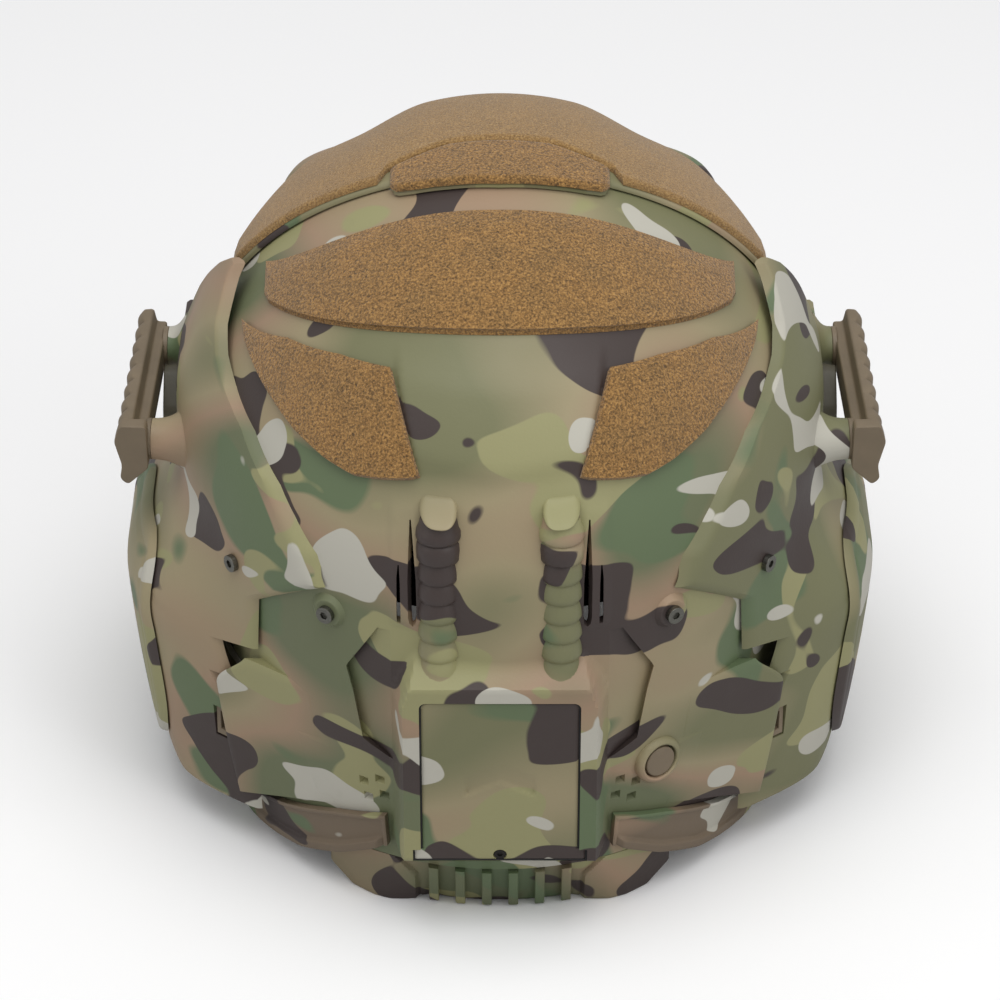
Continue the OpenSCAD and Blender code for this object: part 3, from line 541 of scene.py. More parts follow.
finishes = {  # kind of each finish and its values; colours are sRGB
    "camoShell": (camouflage,),
    "camoSide": (camouflage, (0.31, 0.12, 0.05)),
    "camoPlate": (camouflage, (0.52, 0.4, 0.21)),
    "camoDoor": (camouflage, (0.9, 0.13, 0.37)),
    "camoSleeve": (camouflage, (0.25, 0.61, 0.11), 0.42),
    # camo of the scoops in lighter tones: partly their own tan, partly painted light that lifts the shade they sit in
    "camoScoopWithPaintedLight": (camouflage, (0.17, 0.33, 0.71), 0.5, ("drab", "pinkTan", "pinkTan", "drab")),
    "coyoteLoop": (loopFabric, (186, 147, 88), (144, 110, 60), (84, 62, 30), 1250.0),
    "crownLoop": (loopFabric, (184, 152, 100), (156, 124, 76), (118, 92, 52), 1500.0),
    "sandPlastic": (plainPlastic, (118, 104, 84), 0.52),
    "blackPlastic": (plainPlastic, (15, 15, 15), 0.75, 0.12),
    "greyPlastic": (plainPlastic, (20, 20, 21), 0.6, 0.12),
    "hubPlastic": (plainPlastic, (84, 80, 66)),
    # dark rubber of the visor's gasket; the same finish on the ring in the door's gap is painted shade
    "gasketRubberAndGapShade": (plainPlastic, (28, 28, 28), 0.75),
    "cellWrap": (plainPlastic, (58, 122, 86), 0.3, 0.5, 300.0, 0.03),
    "boardMask": (plainPlastic, (28, 86, 52), 0.35, 0.5, 900.0, 0.05),
    "darkSteel": (plainPlastic, (48, 46, 44), 0.4, 0.5, 700.0, 0.15, 0.8),
    "screwSteel": (brushedSteel,),
    "padKnit": (knitFabric, (52, 52, 55)),
    "strapWeb": (knitFabric, (36, 36, 38)),
    "lensTint": (tintedLens,),
}
materials = {name: newFinish(name, *values) for name, values in finishes.items()}
print("finishes made")

# Rear shell
backLook = {  # mm: what stands out of the back and what is let into it
    "blockHalf": 34.6, "blockSide": 37.6, "blockLow": 35.6, "blockTop": 113.2, "slope": 12.6,
    "chevron": [(72.6, 39), (78, 48.5), (98.8, 51.7), (109, 54), (129.5, 42.6)], "chevronDepth": 2.9,
    "chevronInner": 38, "spineRise": 1.8, "stripRise": 0.8, "seamY": -9.85, "sleeveX": 21,
    "pits": [(48.6, 57.7), (42.8, 60.6), (47, 50.6), (41.2, 53.6)],
    "wideSlot": [(30.2, 133.4), (31.3, 134.6), (31.7, 137), (31.8, 152), (31.4, 163), (30.9, 173.6), (30.4, 173.6),
                 (29.6, 163), (28.9, 152), (28.7, 137), (29.2, 134.4)],
    "thinSlot": [(34.3, 134), (35.5, 134), (35.7, 136), (35.6, 152), (35.1, 157), (34.7, 157), (34.4, 150)],
    "bossScrew": (59.7, 107.1, 130.3, 30), "wingScrew": (89.6, 71.9, 129.9, 52), "screwHole": 1.7,
}
doorLook = {  # mm: the battery door in its own x and z, and where it sits
    "y": 128, "z": 73.85, "lean": 3.5, "half": 27.5, "foot": 2.8, "high": 33.15, "step": -33.15, "low": -38.15,
    "corner": 2.4, "back": -3.2, "hingeZ": 31.35, "screwZ": -36.15, "gap": 0.7, "bayHalf": 23.8, "bayHigh": 34.2,
    "mouthHigh": 32.6,
}
buttonLook = {  # mm: radii and heights of the dimple, bore and collar round the button
    "dimple": (8.2, 8.6, -1.8, 6.2), "bore": (6.35, 6.35, -12, 8),
    "collar": [(6.75, -3), (6.75, 0.4), (7.0, 0.9), (7.6, 1.1), (8.5, 0.6), (9.3, -0.5), (9.3, -3)],
}
doorSpot = place((0, doorLook["y"], doorLook["z"]), ("X", -doorLook["lean"]))
buttonSpot = outOf(-1, 57, 106, 65, 33)


def blockY(x, z):
    plane = doorLook["y"] + (z - doorLook["z"]) * tan(radians(doorLook["lean"]))
    half = backLook["blockHalf"] - 3 * max(0, z - 104) / 10
    side = max(0, abs(x) - half) / (backLook["blockSide"] - backLook["blockHalf"])
    top = max(0, z - backLook["blockTop"]) / 10.5
    low = max(0, backLook["blockLow"] - z) / 9.6
    return plane + 0.6 - backLook["slope"] * (side + top + low)


def smoothMax(a, b, k):
    h = max(0, k - abs(a - b)) / k
    return max(a, b) + h * h * k / 4


# How far the spine, the strips beside the slots and the lower corners stand out
def backRelief(x, z):
    x, off = abs(x), 0.0
    if 180 < z < 222:
        half, low = mix(26, 35, (z - 184) / 32), 184 + x / 9
        off += backLook["spineRise"] * ease((half + 0.9 - x) / 1.8) * ease((z - low) / 9) * ease((222 - z) / 9)
    if 26 < x < 41 and 128 < z < 182:
        strip = ease((x - 27.6) / 1.2) * ease((39 - x) / 3) * ease((z - 131) / 4) * ease((180 - z) / 6)
        off += backLook["stripRise"] * strip
    if z < 69 and x > 50:
        low = lookup(x, [(50, 48), (79, 32), (95, 21), (110, 17)])
        off += backLook["stripRise"] * ease((z - low) / 3) * ease((x - 56) / 20)
    return off


# Angle at which the wall reaches the seam between the two shells
def seamAngle(z, y, most):
    cosine = y / max(1e-6, deep(z, 0, False) * root(1 - climb(z, 0) ** 2))
    return most if cosine < -1 else degrees(acos(cosine))


# Angles of a row's points: evenly across the back, then round to the seam
def shellRow(z, halves):
    w = wide(z) * max(root(1 - climb(z, 0) ** 2), 1e-6)
    last = seamAngle(z, backLook["seamY"], 180.0)

    def near(h):
        level = degrees(asin(h / w)) if h < w else 90
        return mix(level, degrees(asin(h / dome["halfWidth"])) * last / 95, ease((z - 178) / 22))

    def angle(h):
        return near(h) if h <= 60 else mix(near(60), last, (h - 60) / 100)
    return [copysign(angle(abs(h)), h) for h in halves]


# Outline of the battery door in its own x and z, grown by a gap
def doorOutline(gap, below=0):
    half, high = doorLook["half"] + gap, doorLook["high"] + gap
    corner, foot = doorLook["corner"], half + doorLook["foot"]
    step, low = doorLook["step"], doorLook["low"] - gap - below
    arc = [(cos(radians(a)), sin(radians(a))) for a in steps(0, 90, 18)]
    points = [(half - corner + corner * c, high - corner + corner * s) for c, s in arc]
    points += [(-x, z) for x, z in points[::-1]]
    return points + [(-half, step), (-foot, step), (-foot, low), (foot, low), (foot, step), (half, step)]


def rearShell():
    look = backLook
    halves = (steps(-160, -60, 2.6)[:-1] + steps(-60, 60, 1.0) + steps(60, 160, 2.6)[1:])[::-1]
    rows = [(z, shellRow(z, halves)) for z in domeLevels((24, 140, 1.1), (2, 90, 1.35))]

    def wall(row, j):
        z, a = row[0], row[1][j]
        flat = wallPoint(a, z)
        p = wallPoint(a, z, backRelief(flat.x, z) if flat.y > 30 else 0)
        if abs(p.x) < 46 and z < 132:
            p.y = smoothMax(p.y, blockY(p.x, z), 2.5)
        thick = ease((z - 71) / 4) * ease((135 - z) / 4) * ease((abs(p.x) - 34) / 3) * ease((60 - abs(p.x)) / 4)
        return p, wallPoint(a, liningZ(z), -dome["wall"] - 2.6 * thick)
    piece = newPiece("rearShell", shape(addSheet, rows, range(len(halves)), wall), "camoShell", "rear_shell")
    half, bayHigh, mouthHigh = doorLook["bayHalf"], doorLook["bayHigh"], doorLook["mouthHigh"]
    recess = shape(prismAt, doorOutline(doorLook["gap"], 2.6), -3.6, 8, doorSpot)
    bay = shape(boxAt, (-half, -40, -bayHigh), (half, -4.2, bayHigh), doorSpot)
    mouth = shape(boxAt, (-half, -12, -mouthHigh), (half, 20, mouthHigh), doorSpot)
    dimple = shape(barAt, *buttonLook["dimple"], buttonSpot, 64)
    bore = shape(barAt, *buttonLook["bore"], buttonSpot, 64)
    slots, chevrons, pits = bmesh.new(), bmesh.new(), bmesh.new()

    def chevron(z, u):
        drop = look["chevronDepth"] * ease((z - 69) / 8) * ease((134 - z) / 14)
        x = mix(lookup(z, look["chevron"]), look["chevronInner"], u)
        return (side * x, backY(x, z, 3), z), (side * x, backY(x, z, -drop * (1 - u) ** 0.8), z)
    for side in (1, -1):
        prismAt(slots, [(side * x, z) for x, z in look["thinSlot"]], 100, 140)
        # the outer wall of the wide slot slopes in
        inward = [(x - max(0, x - 29.9) * 0.75, x, z) for x, z in look["wideSlot"]]
        loft(slots, [[(side * x, 140, z) for s, x, z in inward],
                     [(side * x, backY(x, z, 0.2), z) for s, x, z in inward],
                     [(side * s, backY(x, z, -2.7), z) for s, x, z in inward],
                     [(side * s, 100, z) for s, x, z in inward]])
        barAt(slots, look["screwHole"], look["screwHole"], -12, 8, outOf(side, *look["bossScrew"]), 24)
        barAt(slots, look["screwHole"], look["screwHole"], -20, 10, outOf(side, *look["wingScrew"]), 24)
        addSheet(chevrons, steps(72.6, 129.5, 1.9), steps(0, 1, 0.125), chevron)
        for x, z in look["pits"]:
            rise = (side * (backY(x - 0.5, z) - backY(x + 0.5, z)), 1, backY(x, z - 0.5) - backY(x, z + 0.5))
            turn = Vector(rise).to_track_quat("Z", "Y").to_matrix().to_4x4()
            spot = Matrix.Translation((side * x, backY(x, z), z)) @ turn @ place((0, 0, 0), ("Z", 45))
            barAt(pits, 1.3, 3.3, -2.1, 1.0, spot, 4)
    cutAway(piece, [recess, bay, mouth, slots, dimple, bore, chevrons, pits], 34)


# Hoods over the sleeves' upper ends
hoodLook = {"half": 6.6, "taper": 0.4, "low": 175.4, "high": 182, "rise": 8.8}  # mm


def hoods():
    look, bm = hoodLook, bmesh.new()

    def hood(v, u):
        x = backLook["sleeveX"] + look["half"] * u * (1 - look["taper"] * v ** 3)
        z = mix(look["low"] + 2.4 * abs(u) ** 2.5, look["high"], v)
        rise = look["rise"] * (1 - u ** 4) ** 0.6 * (1 - ease(v)) * (0.88 + 0.12 * ease(v / 0.12))
        return (side * x, backY(x, z, 0.15 + rise), z), (side * x, backY(x, z, -1), z)
    for side in (1, -1):
        addSheet(bm, steps(0, 1, 0.05), steps(1, -1, 0.05), hood)
    newPiece("sleeveHoods", bm, "camoShell", "rear_shell", 50)


# Bosses of the two rear screws, the ring round the button and the plates over the cheeks
def rearTrim():
    bm = bmesh.new()
    for side in (1, -1):
        for values in ((7.4, 5.6, -1.5, 0.5), (5.6, 5.0, 0.5, 1.2)):
            barAt(bm, *values, outOf(side, *backLook["bossScrew"]))
    latheAt(bm, buttonLook["collar"], buttonSpot, 72)
    softEdge(newPiece("rearBosses", bm, "camoShell", "rear_shell"), 0.4)
    bm = bmesh.new()

    def plate(i, j):
        low = mix(70.6, 98, j / 30)
        z = mix(lookup(low, [(70.6, 25), (77, 28.5), (98, 40)]), 91, i / 44)
        y = mix(mix(70.6, 80, ease((z - 74) / 20)), 98, j / 30)
        edge = min(1, j / 2.0, (44 - i) / 2.5)
        outer = sideX(y, z, mix(2.4, -3.4, ease((y - 72) / 26)) - 0.9 * (1 - edge) ** 2)
        return (side * outer, y, z), (side * sideX(y, z, mix(0.6, -5.4, ease((y - 77) / 3))), y, z)
    for side in (1, -1):
        addSheet(bm, range(45), range(31), plate)
    newPiece("cheekPlates", bm, "camoShell", "rear_shell")


crownLook = {"half": 96, "tabHalf": 38.5, "seamY": -10.15, "swell": 7.7}  # mm


def crownFront(x):
    return -94 + 80 * (abs(x) / crownLook["half"]) ** 1.35


def crownRear(x):
    return 20.5 - 21.5 * (abs(x) / crownLook["half"]) ** 2.2


def visorAt(x, t=0):
    return (124 + t) * root(1 - (x / (122.3 + t)) ** 2)


def frontShell():
    rows = [(z, seamAngle(z, crownLook["seamY"], 179.0)) for z in domeLevels((96, 137, 2.5), (1.5, 85, 1.5))]

    def wall(row, u):
        z, first = row
        a = mix(first, 360 - first, u)
        p, off = wallPoint(a, z), 0
        ahead = (crownFront(p.x) - p.y) / 24
        if 36 < abs(p.x) < 80 and 0 < ahead < 1.1 and z > 180:
            along = max(0, 1 - abs((abs(p.x) - 58) / 22) ** 3)
            off = crownLook["swell"] * (max(0, 1 - abs(ahead - 0.4) ** 3 / 0.216) * along)
        return wallPoint(a, z, off), wallPoint(a, liningZ(z), -dome["wall"])
    piece = newPiece("frontShell", shape(addSheet, rows, parts(120), wall), "camoShell", "front_shell")
    pins = bmesh.new()
    for side in (1, -1):
        barAt(pins, pinHole, pinHole, 0, 20, place((side * 100, *pivot), ("Y", 90 * side)))
    cutAway(piece, [shape(boxAt, (-150, -200, 60), (150, -58, 154.5)), pins])

    def lip(z, x):
        y = pivot[0] - sqrt(visorAt(x, -3.6) ** 2 - (z - pivot[1]) ** 2)
        inner = -deep(z, -2, False) * root(1 - (x / wide(z, -2)) ** 2 - climb(z, -2) ** 2)
        return (x, y, z), (x, inner, z)
    bm = shape(addSheet, steps(156, 161, 1.2), steps(94, -94, 4), lip)
    softEdge(newPiece("browLip", bm, "camoShell", "front_shell"), 0.6)


rearShell()
hoods()
rearTrim()
frontShell()
print("shell built")


# Sheet over the crown between a front and a rear line, with rounded edges
def crownSheet(name, finish, node, half, front, rear, under, top, radius, step=1.6):
    xs = steps(half, -half, step)
    rows = round(max(rear(x) - front(x) for x in xs) / step)

    def pair(v, x):
        y = mix(rear(x), front(x), v)
        d = min(half - abs(x), (rear(x) - y) * 0.9, (y - front(x)) * 0.9)
        return (x, y, topZ(x, y, top - rounded(d, radius))), (x, y, topZ(x, y, under))
    newPiece(name, shape(addSheet, parts(rows), xs, pair), finish, node, 50)


def notch(x):
    x = abs(x)
    return crownRear(x) if x > 43 else lookup(x, [(0, 3), (18, 3.2), (30, 7.5), (40, 11), (43, 16.5)])


def tabRear(x):
    return lookup(abs(x), [(0, 29.8), (18, 28.7), (30, 27.4), (36, 26), (38.5, 22.5)])


def crown():
    half = crownLook["half"]
    crownSheet("crownCover", "camoPlate", "crown_cover", half, crownFront,
               lambda x: tabRear(x) - 3 if abs(x) < 37 else crownRear(x) - 0.6, 0.8, 2.6, 0.8)
    crownSheet("crownLoop", "crownLoop", "loop_crown", half, lambda x: crownFront(x) + 1,
               lambda x: notch(x) - (0.6 if abs(x) < 43 else 1.2), 2.7, 5.1, 1.2)
    crownSheet("tabLoop", "coyoteLoop", "loop_tab", crownLook["tabHalf"], lambda x: notch(x) + 0.6,
               lambda x: tabRear(x) - 2.4, 2.7, 5.1, 1.1, 1.1)


loopLook = {  # mm: the rear loop panels
    "under": 0.2, "top": 2.6, "radius": 1.1, "lowEnds": (90.8, 27.7), "highEnds": (91.5, 37.6), "wideEnds": (83, -83),
    "lows": [(27.7, 188.2), (31, 186.9), (42, 184.9), (51, 183.8), (60, 185.6), (71, 189.6), (78, 193.4), (85, 197.4),
             (91, 201.8)],
    "highs": [(37.6, 216.6), (55, 215.3), (74, 211.4), (91.5, 203.4)],
}


# Loop panel on the back between a lower and an upper edge, each with its ends in x and its heights
def backLoop(name, node, rows, cols, lowEnds, lowZ, highEnds, highZ, side=1):
    look = loopLook
    length, thick = abs(lowEnds[0] - lowEnds[1]), look["top"] - look["under"]

    def pair(v, u):
        x0, x1 = mix(*lowEnds, u), mix(*highEnds, u)
        z0, z1 = lowZ(x0), highZ(x1)
        x, z, tall = mix(x0, x1, v), mix(z0, z1, v), hypot(x1 - x0, z1 - z0)
        d = min(v * tall, (1 - v) * tall, u * length, (1 - u) * length)
        xi = x * (1 - thick / dome["halfWidth"])
        zi = z - thick * max(0, z - dome["ring"]) / dome["rise"]
        outer = (side * x, backY(x, z, look["top"] - rounded(d, look["radius"])), z)
        return outer, (side * xi, backY(xi, zi, look["under"]), zi)
    newPiece(name, shape(addSheet, parts(rows), parts(cols), pair), "coyoteLoop", node, 50)


def rearLoops():
    look = loopLook
    backLoop("wideLoop", "loop_rear_wide", 26, 130, look["wideEnds"], lambda x: 229 - 0.0015 * abs(x) ** 2.08,
             look["wideEnds"], lambda x: 251.8 - 0.0031 * abs(x) ** 2.1)
    for side, name in sides:
        backLoop(name + "Loop", "loop_rear_" + name, 34, 60, look["lowEnds"], lambda x: lookup(x, look["lows"]),
                 look["highEnds"], lambda x: lookup(x, look["highs"]), side)


crown()
rearLoops()
print("crown and loops built")

railSpot = place((126, -9, 150), ("Z", -2.5), ("X", -4))
sideLook = {  # mm: edges of the side panel by height, posts (y: length, foot), ear opening, hub and hook
    "levels": [18, 34, 50, 66, 80, 93, 96, 107, 119, 124, 132, 140, 151, 157, 163, 169, 180, 186, 192, 199, 206, 212,
               216],
    "rear": [(18, 72), (50, 76), (93, 70), (96, 81), (119, 83), (140, 106.5), (151, 102.5), (161, 94), (169, 86),
             (180, 68), (186, 50), (192, 36.6), (199, 27), (206, 21.5), (212, 16), (216, 13.5)],
    "front": [(18, -50), (119, -50), (124, -62), (157, -62), (163, -16), (186, -15), (193, -12), (201, -6.5),
              (210, 1.6), (216, 9)],
    "thick": 2.6, "posts": {-27.5: (6.7, 13), 31: (10.9, 10.8)}, "postRadius": 7.5, "ear": (5, 67), "earRadius": 24,
    "hub": circlePoints(*pivot, 9.4) + circlePoints(-22, 146, 6.8), "hook": (98.9, 66.6, 55), "hookTurn": -37.4,
    "dent": [(67.4, 77.6), (80, 79.2), (80, 74), (69.9, 68.4)],
}


def postSpot(y):
    return railSpot @ place((0, y, 0), ("Y", 90))


def sidePanels():
    look = sideLook
    low, high = look["levels"][0], look["levels"][-1]
    levels = [z for pair in zip(look["levels"], look["levels"][1:]) for z in steps(*pair, 2.0)[:-1]] + [high]

    def panel(z, u):
        y0, y1 = lookup(z, look["front"]), lookup(z, look["rear"])
        y = mix(y0, y1, u)
        drop = rounded(min(y1 - y, y - y0, z - low + 0.3, high - z + 0.3), 1.2)
        deeper = 1.2 * (min(1, max(0, (4.5 - (y1 - y)) / 2.5)) * ease((z - 142) / 8))
        return (sideX(y, z, -drop), y, z), (sideX(y, z, -look["thick"] - deeper), y, z)
    for side, name in sides:
        bm = shape(addSheet, levels, parts(84), panel)
        piece = newPiece("sidePanel_" + name, bm, "camoSide", "side_panel_" + name, 32)
        ear = shape(barAt, look["earRadius"], look["earRadius"], 100, 160, place((0, *look["ear"]), ("Y", 90)), 64)
        at = sideX(*pivot)
        hub = shape(prismAt, convexOutline(look["hub"]), at, at + 20.1, sideways())
        hook = shape(boxAt, (-4.4, -15, -7.3), (4.4, 15, 6.5), place(look["hook"], ("Z", look["hookTurn"])))
        dent = shape(prismAt, look["dent"], 80, 120, sideways())
        bores = shape(barAt, pinHole, pinHole, 100, 140, place((0, *pivot), ("Y", 90)), 32)
        barAt(bores, backLook["screwHole"], backLook["screwHole"], -20, 10, outOf(1, *backLook["wingScrew"]), 24)
        cutAway(piece, [ear, hub, hook, dent, bores], 32)
        post, drill, r = bmesh.new(), bmesh.new(), look["postRadius"]
        for y, (length, foot) in look["posts"].items():
            profile = [(r + (foot - r) * (1 - u) ** 2.4, -1.5 - length * (1 - u)) for u in steps(0, 1, 0.07)]
            rings = latheAt(post, profile + [(7.1, -1.4)], postSpot(y))
            # the foot of the post meets the panel all round
            for ring, u in zip(rings, steps(0, 1, 0.07)):
                for v in ring:
                    gap = sideX(*unseated(v.co)[1:], -0.8) * 0.001 - rings[0][0].co.x
                    v.co.x += (min(0, gap) if u == 0 else gap) * (1 - u) ** 2
            barAt(drill, 1.65, 1.65, -16, 4, postSpot(y), 24)
        posts = newPiece("railPosts_" + name, post, "camoSide", "side_panel_" + name, 45)
        cutAway(posts, [drill], 45)
        flip(side, piece, posts)


railLook = {  # mm: accessory rail and its end cap, x out and z up
    "length": 70, "pitch": 9.2, "teeth": 8, "tooth": 3.9, "neck": 7,
    "section": [(0, -6), (3.6, -6), (4.6, -11.5), (8.4, -11.5), (10.5, -9), (10.5, -3), (8.3, -2.2), (8.3, 2.2),
                (10.5, 3), (10.5, 9), (8.4, 11.5), (4.6, 11.5), (3.6, 6), (0, 6)],
    "cap": [(-0.5, -7), (7.3, -14.5), (10.1, -12), (9.1, -6), (11.5, 4.5), (9.3, 11.5), (-0.5, 11.5)],
}


def rails():
    look = railLook

    def ring(y):
        near = abs((y / look["pitch"] + look["teeth"] / 2) % 1 - 0.5) * look["pitch"]
        bulge, neck = root(1 - (near / look["tooth"]) ** 2), look["neck"]
        out, up = 0.35 + 0.65 * bulge, 0.95 + 0.05 * bulge
        return [railSpot @ Vector((x, y, z) if x < neck else (neck + (x - neck) * out, y, z * up))
                for x, z in roundedPath(look["section"], 1.1)]
    for side, name in sides:
        bm = shape(loft, [ring(y) for y in steps(-look["length"] / 2, look["length"] / 2, 0.5)])
        beam = newPiece("railBeam_" + name, bm, "sandPlastic", "side_rail_" + name, 35)
        bm = shape(prismAt, roundedPath(look["cap"], 1.6), 34.8, 40, railSpot)
        for y in sideLook["posts"]:
            barAt(bm, 7.5, 7.5, -1.4, 0.6, postSpot(y))
        trim = newPiece("railEnds_" + name, bm, "sandPlastic", "side_rail_" + name, 35)
        for made in (beam, trim):
            drill = bmesh.new()
            for y in sideLook["posts"]:
                barAt(drill, 2.06, 2.06, -3, 17, postSpot(y), 32)
                barAt(drill, 3.7, 3.7, 5, 25, postSpot(y), 32)
            cutAway(made, [drill], 35)
            softEdge(made, 0.4)
        flip(side, beam, trim)


earLook = {"half": 44, "tall": 44.5, "out": 3.2, "groove": 0.7, "grooveAt": 6.5, "slotStep": 9, "slotEnd": 2}  # mm


def earCovers():
    look = earLook
    midY, midZ = sideLook["ear"]

    def cover(v, u):
        z = midZ + mix(-look["tall"], look["tall"], v)
        half = look["half"] * max(0, 1 - abs((z - midZ) / 46) ** 3) ** (1 / 3)
        y = midY + mix(-half, half, u)
        d = min(half - abs(y - midY), look["tall"] + 0.1 - abs(z - midZ))
        groove = look["groove"] * ease(1 - abs(d - look["grooveAt"]) / 1.2)
        return (sideX(y, z, look["out"] - 0.8 * rounded(d, 3.0) - groove), y, z), (sideX(y, z, 0.8), y, z)
    for side, name in sides:
        bm = shape(addSheet, parts(56), parts(56), cover)
        piece = newPiece("earCover_" + name, bm, "camoPlate", "ear_cover_" + name)
        slots, r = bmesh.new(), look["slotEnd"]
        for i in range(-2, 3):
            half, z = 18 - 2 * abs(i), midZ + look["slotStep"] * i
            ends = circlePoints(midY - half + r, z, r, 16) + circlePoints(midY + half - r, z, r, 16)
            prismAt(slots, convexOutline(ends), 100, 160, sideways())
        cutAway(piece, [slots])
        flip(side, piece)


jawLook = {  # mm and degrees
    "y": -46, "reach": 115, "swing": 86.5, "mouth": [(-30, 28), (30, 28), (36, 42), (28, 55), (-28, 55), (-36, 42)],
}


def jawY(a, z):
    return jawLook["y"] - (jawLook["reach"] - 13 * ((z - 42) / 42) ** 2) * cos(a)


def jawGuard():
    def guard(v, u):
        a = radians(mix(-jawLook["swing"], jawLook["swing"], u))
        top = pivot[1] - 0.466 * (pivot[0] - jawY(a, 50)) - 3
        z = mix(0, top, v)

        def at(t):
            return (sideX(0, z, -t) - 0.3) * sin(a), jawY(a, z) + t * cos(a), z
        return at(rounded(min(z + 0.2, top - z + 0.2), 1.2)), at(3)
    piece = newPiece("jawGuard", shape(addSheet, parts(48), parts(120), guard), "camoShell", "jaw_guard")
    slots = bmesh.new()
    for side in (1, -1):
        for i in range(3):
            spot = place((side * 60, -140, 30 + 13 * i), ("Z", 30 * side))
            boxAt(slots, (min(0, 24 * side), 0, 0), (max(0, 24 * side), 60, 5), spot)
    cutAway(piece, [shape(prismAt, jawLook["mouth"], -190, -130), slots])


neckLook = {  # mm: how far the guard leans in, its half width and its six bars
    "lean": [(0, 6.9), (25, 6.3), (29.5, 4), (34, 2), (40, -0.4), (46, -1), (54, 0), (62, 1.5)],
    "half": 62, "bars": 6, "pitch": 9.6, "barHalf": 1.8,
}


def neckY(x, z, t):
    return backY(x, z, t - lookup(abs(x), neckLook["lean"]) * max(0, 1 - z / 24) ** 1.2)


def neckGuard():
    look, half = neckLook, neckLook["half"]

    def plate(v, x):
        z = mix(lookup(abs(x), [(53, 0), (62, 7)]), 23.7, v)
        crease = lookup(z, [(0, 29.4), (15, 29.6), (24, 37)])
        fold = 0.4 * ease(1 - abs(abs(x) - crease) / 1.2)
        drop = rounded(min(half + 0.3 - abs(x), z + 0.2), 1.2)
        t = mix(-1.5, 0, ease((abs(x) - crease) / 1.4)) - fold - drop
        return (x, neckY(x, z, t), z), (x, neckY(x, z, -3.4), z)
    bm = shape(addSheet, parts(26), steps(half, -half, 0.8), plate)

    def bar(z, x):
        drop = rounded(min(look["barHalf"] - abs(x - middle), 23.4 - z), 0.6)
        return (x, neckY(x, z, 2 - drop), z), (x, neckY(x, z, -2.4), z)
    for i in range(look["bars"]):
        middle = look["pitch"] * (i - (look["bars"] - 1) / 2)
        addSheet(bm, steps(1, 23.2, 1), steps(middle + look["barHalf"], middle - look["barHalf"], 0.3), bar)
    newPiece("neckGuard", bm, "camoPlate", "neck_guard", 45)


scoopLook = {  # edges in degrees round the back and mm up it; the lip in mm
    "ends": (66, 22), "lip": 1.7, "tops": [(22, 45.6), (33, 39), (48, 27), (66, 15)],
    "lows": [(22, 31), (33, 19), (44, 10), (66, 0.5)],
}


def scoops():
    first, last = scoopLook["ends"]

    def scoop(v, u):
        a = mix(first, last, u)
        foot, top = lookup(a, scoopLook["lows"]), lookup(a, scoopLook["tops"])
        z, up, down = mix(foot, top, v), v * (top - foot), (1 - v) * (top - foot)
        along, far = radians(a - last) * 112, radians(first - a) * 112
        lip = max(ease((5.2 - up) / 1.6) * ease((along - 2) / 2.5), 0.7 * ease((2.6 - down) / 1.2),
                  0.7 * ease((2.2 - along) / 1.2))
        t = 2 + scoopLook["lip"] * lip - rounded(min(up, down, along, far) + 0.25, 0.9)
        return wallPoint(a, z, t), wallPoint(a, z, 0.4)
    for side, name in sides:
        bm = shape(addSheet, parts(40), parts(120), scoop)
        flip(side, newPiece("scoop_" + name, bm, "camoScoopWithPaintedLight", "exhaust_scoop_" + name, 50))


sleeveLook = {  # mm: radii and heights below and above the ribs
    "foot": [(0.05, 0), (5.2, 0), (5.9, 0.6)], "ribs": 6, "rib": 7.7, "radius": 6.45, "lean": 3.5,
    "collar": [(6.4, 46.9), (7.2, 47.3), (7.7, 48.2), (7.75, 52), (7.4, 54.2), (6.7, 54.9), (7.5, 55.5), (7.9, 56.6),
               (7.7, 58.8), (6.9, 60.4), (6.4, 62.8), (6.2, 63.5), (0.05, 63.5)],
}


def sleeves():
    look, x0 = sleeveLook, backLook["sleeveX"]
    ribs = [(look["radius"] + 1.0 * ease(u / 0.2) * (1 - 0.75 * (u / 0.92) ** 3), look["rib"] * (i + u) + 0.5)
            for i in range(look["ribs"]) for u in steps(0, 0.92, 0.115)]
    spot = place((x0, backY(x0, 116) - 1.5, 113), ("X", look["lean"]))
    for side, name in sides:
        bm = shape(latheAt, look["foot"] + ribs + look["collar"], spot, 72)
        for v in bm.verts:
            x, y, z = unseated(v.co)
            ground = backY(x, z, 0.15)
            if z < 126:
                ground = max(ground, blockY(x, z) + 0.15)
            v.co.y = (max(y, ground - 0.6) + seatY) * 0.001
        flip(side, newPiece("sleeve_" + name, bm, "camoSleeve", "cable_sleeve_" + name, 50))


visorLook = {  # degrees up to the edges, and mm
    "low": -25, "high": 13.5, "half": 113.3, "thick": 5, "arm": 11, "armThick": 1.5,
    "armEnd": [(-70, 113), (-67, 113), (-70, 147), (-67, 147)],
}


# Sheet of the visor: its half width in mm and how far its edges stay inside the frame's, in degrees
def visorSheet(bm, half, inset, under, top, radius=0.0):
    low, high = visorLook["low"] + inset, visorLook["high"] - inset

    def pair(v, u):
        a, x = mix(low, high, v), mix(-half, half, u)
        d = min(half - abs(x), radians(min(a - low, high - a)) * 122)

        def at(t):
            turn = radians(a)
            return x, pivot[0] - visorAt(x, t) * cos(turn), pivot[1] + visorAt(x, t) * sin(turn)
        return at(top - (rounded(d, radius) if radius else 0)), at(under)
    addSheet(bm, parts(round((high - low) / 0.8)), parts(round(half)), pair)


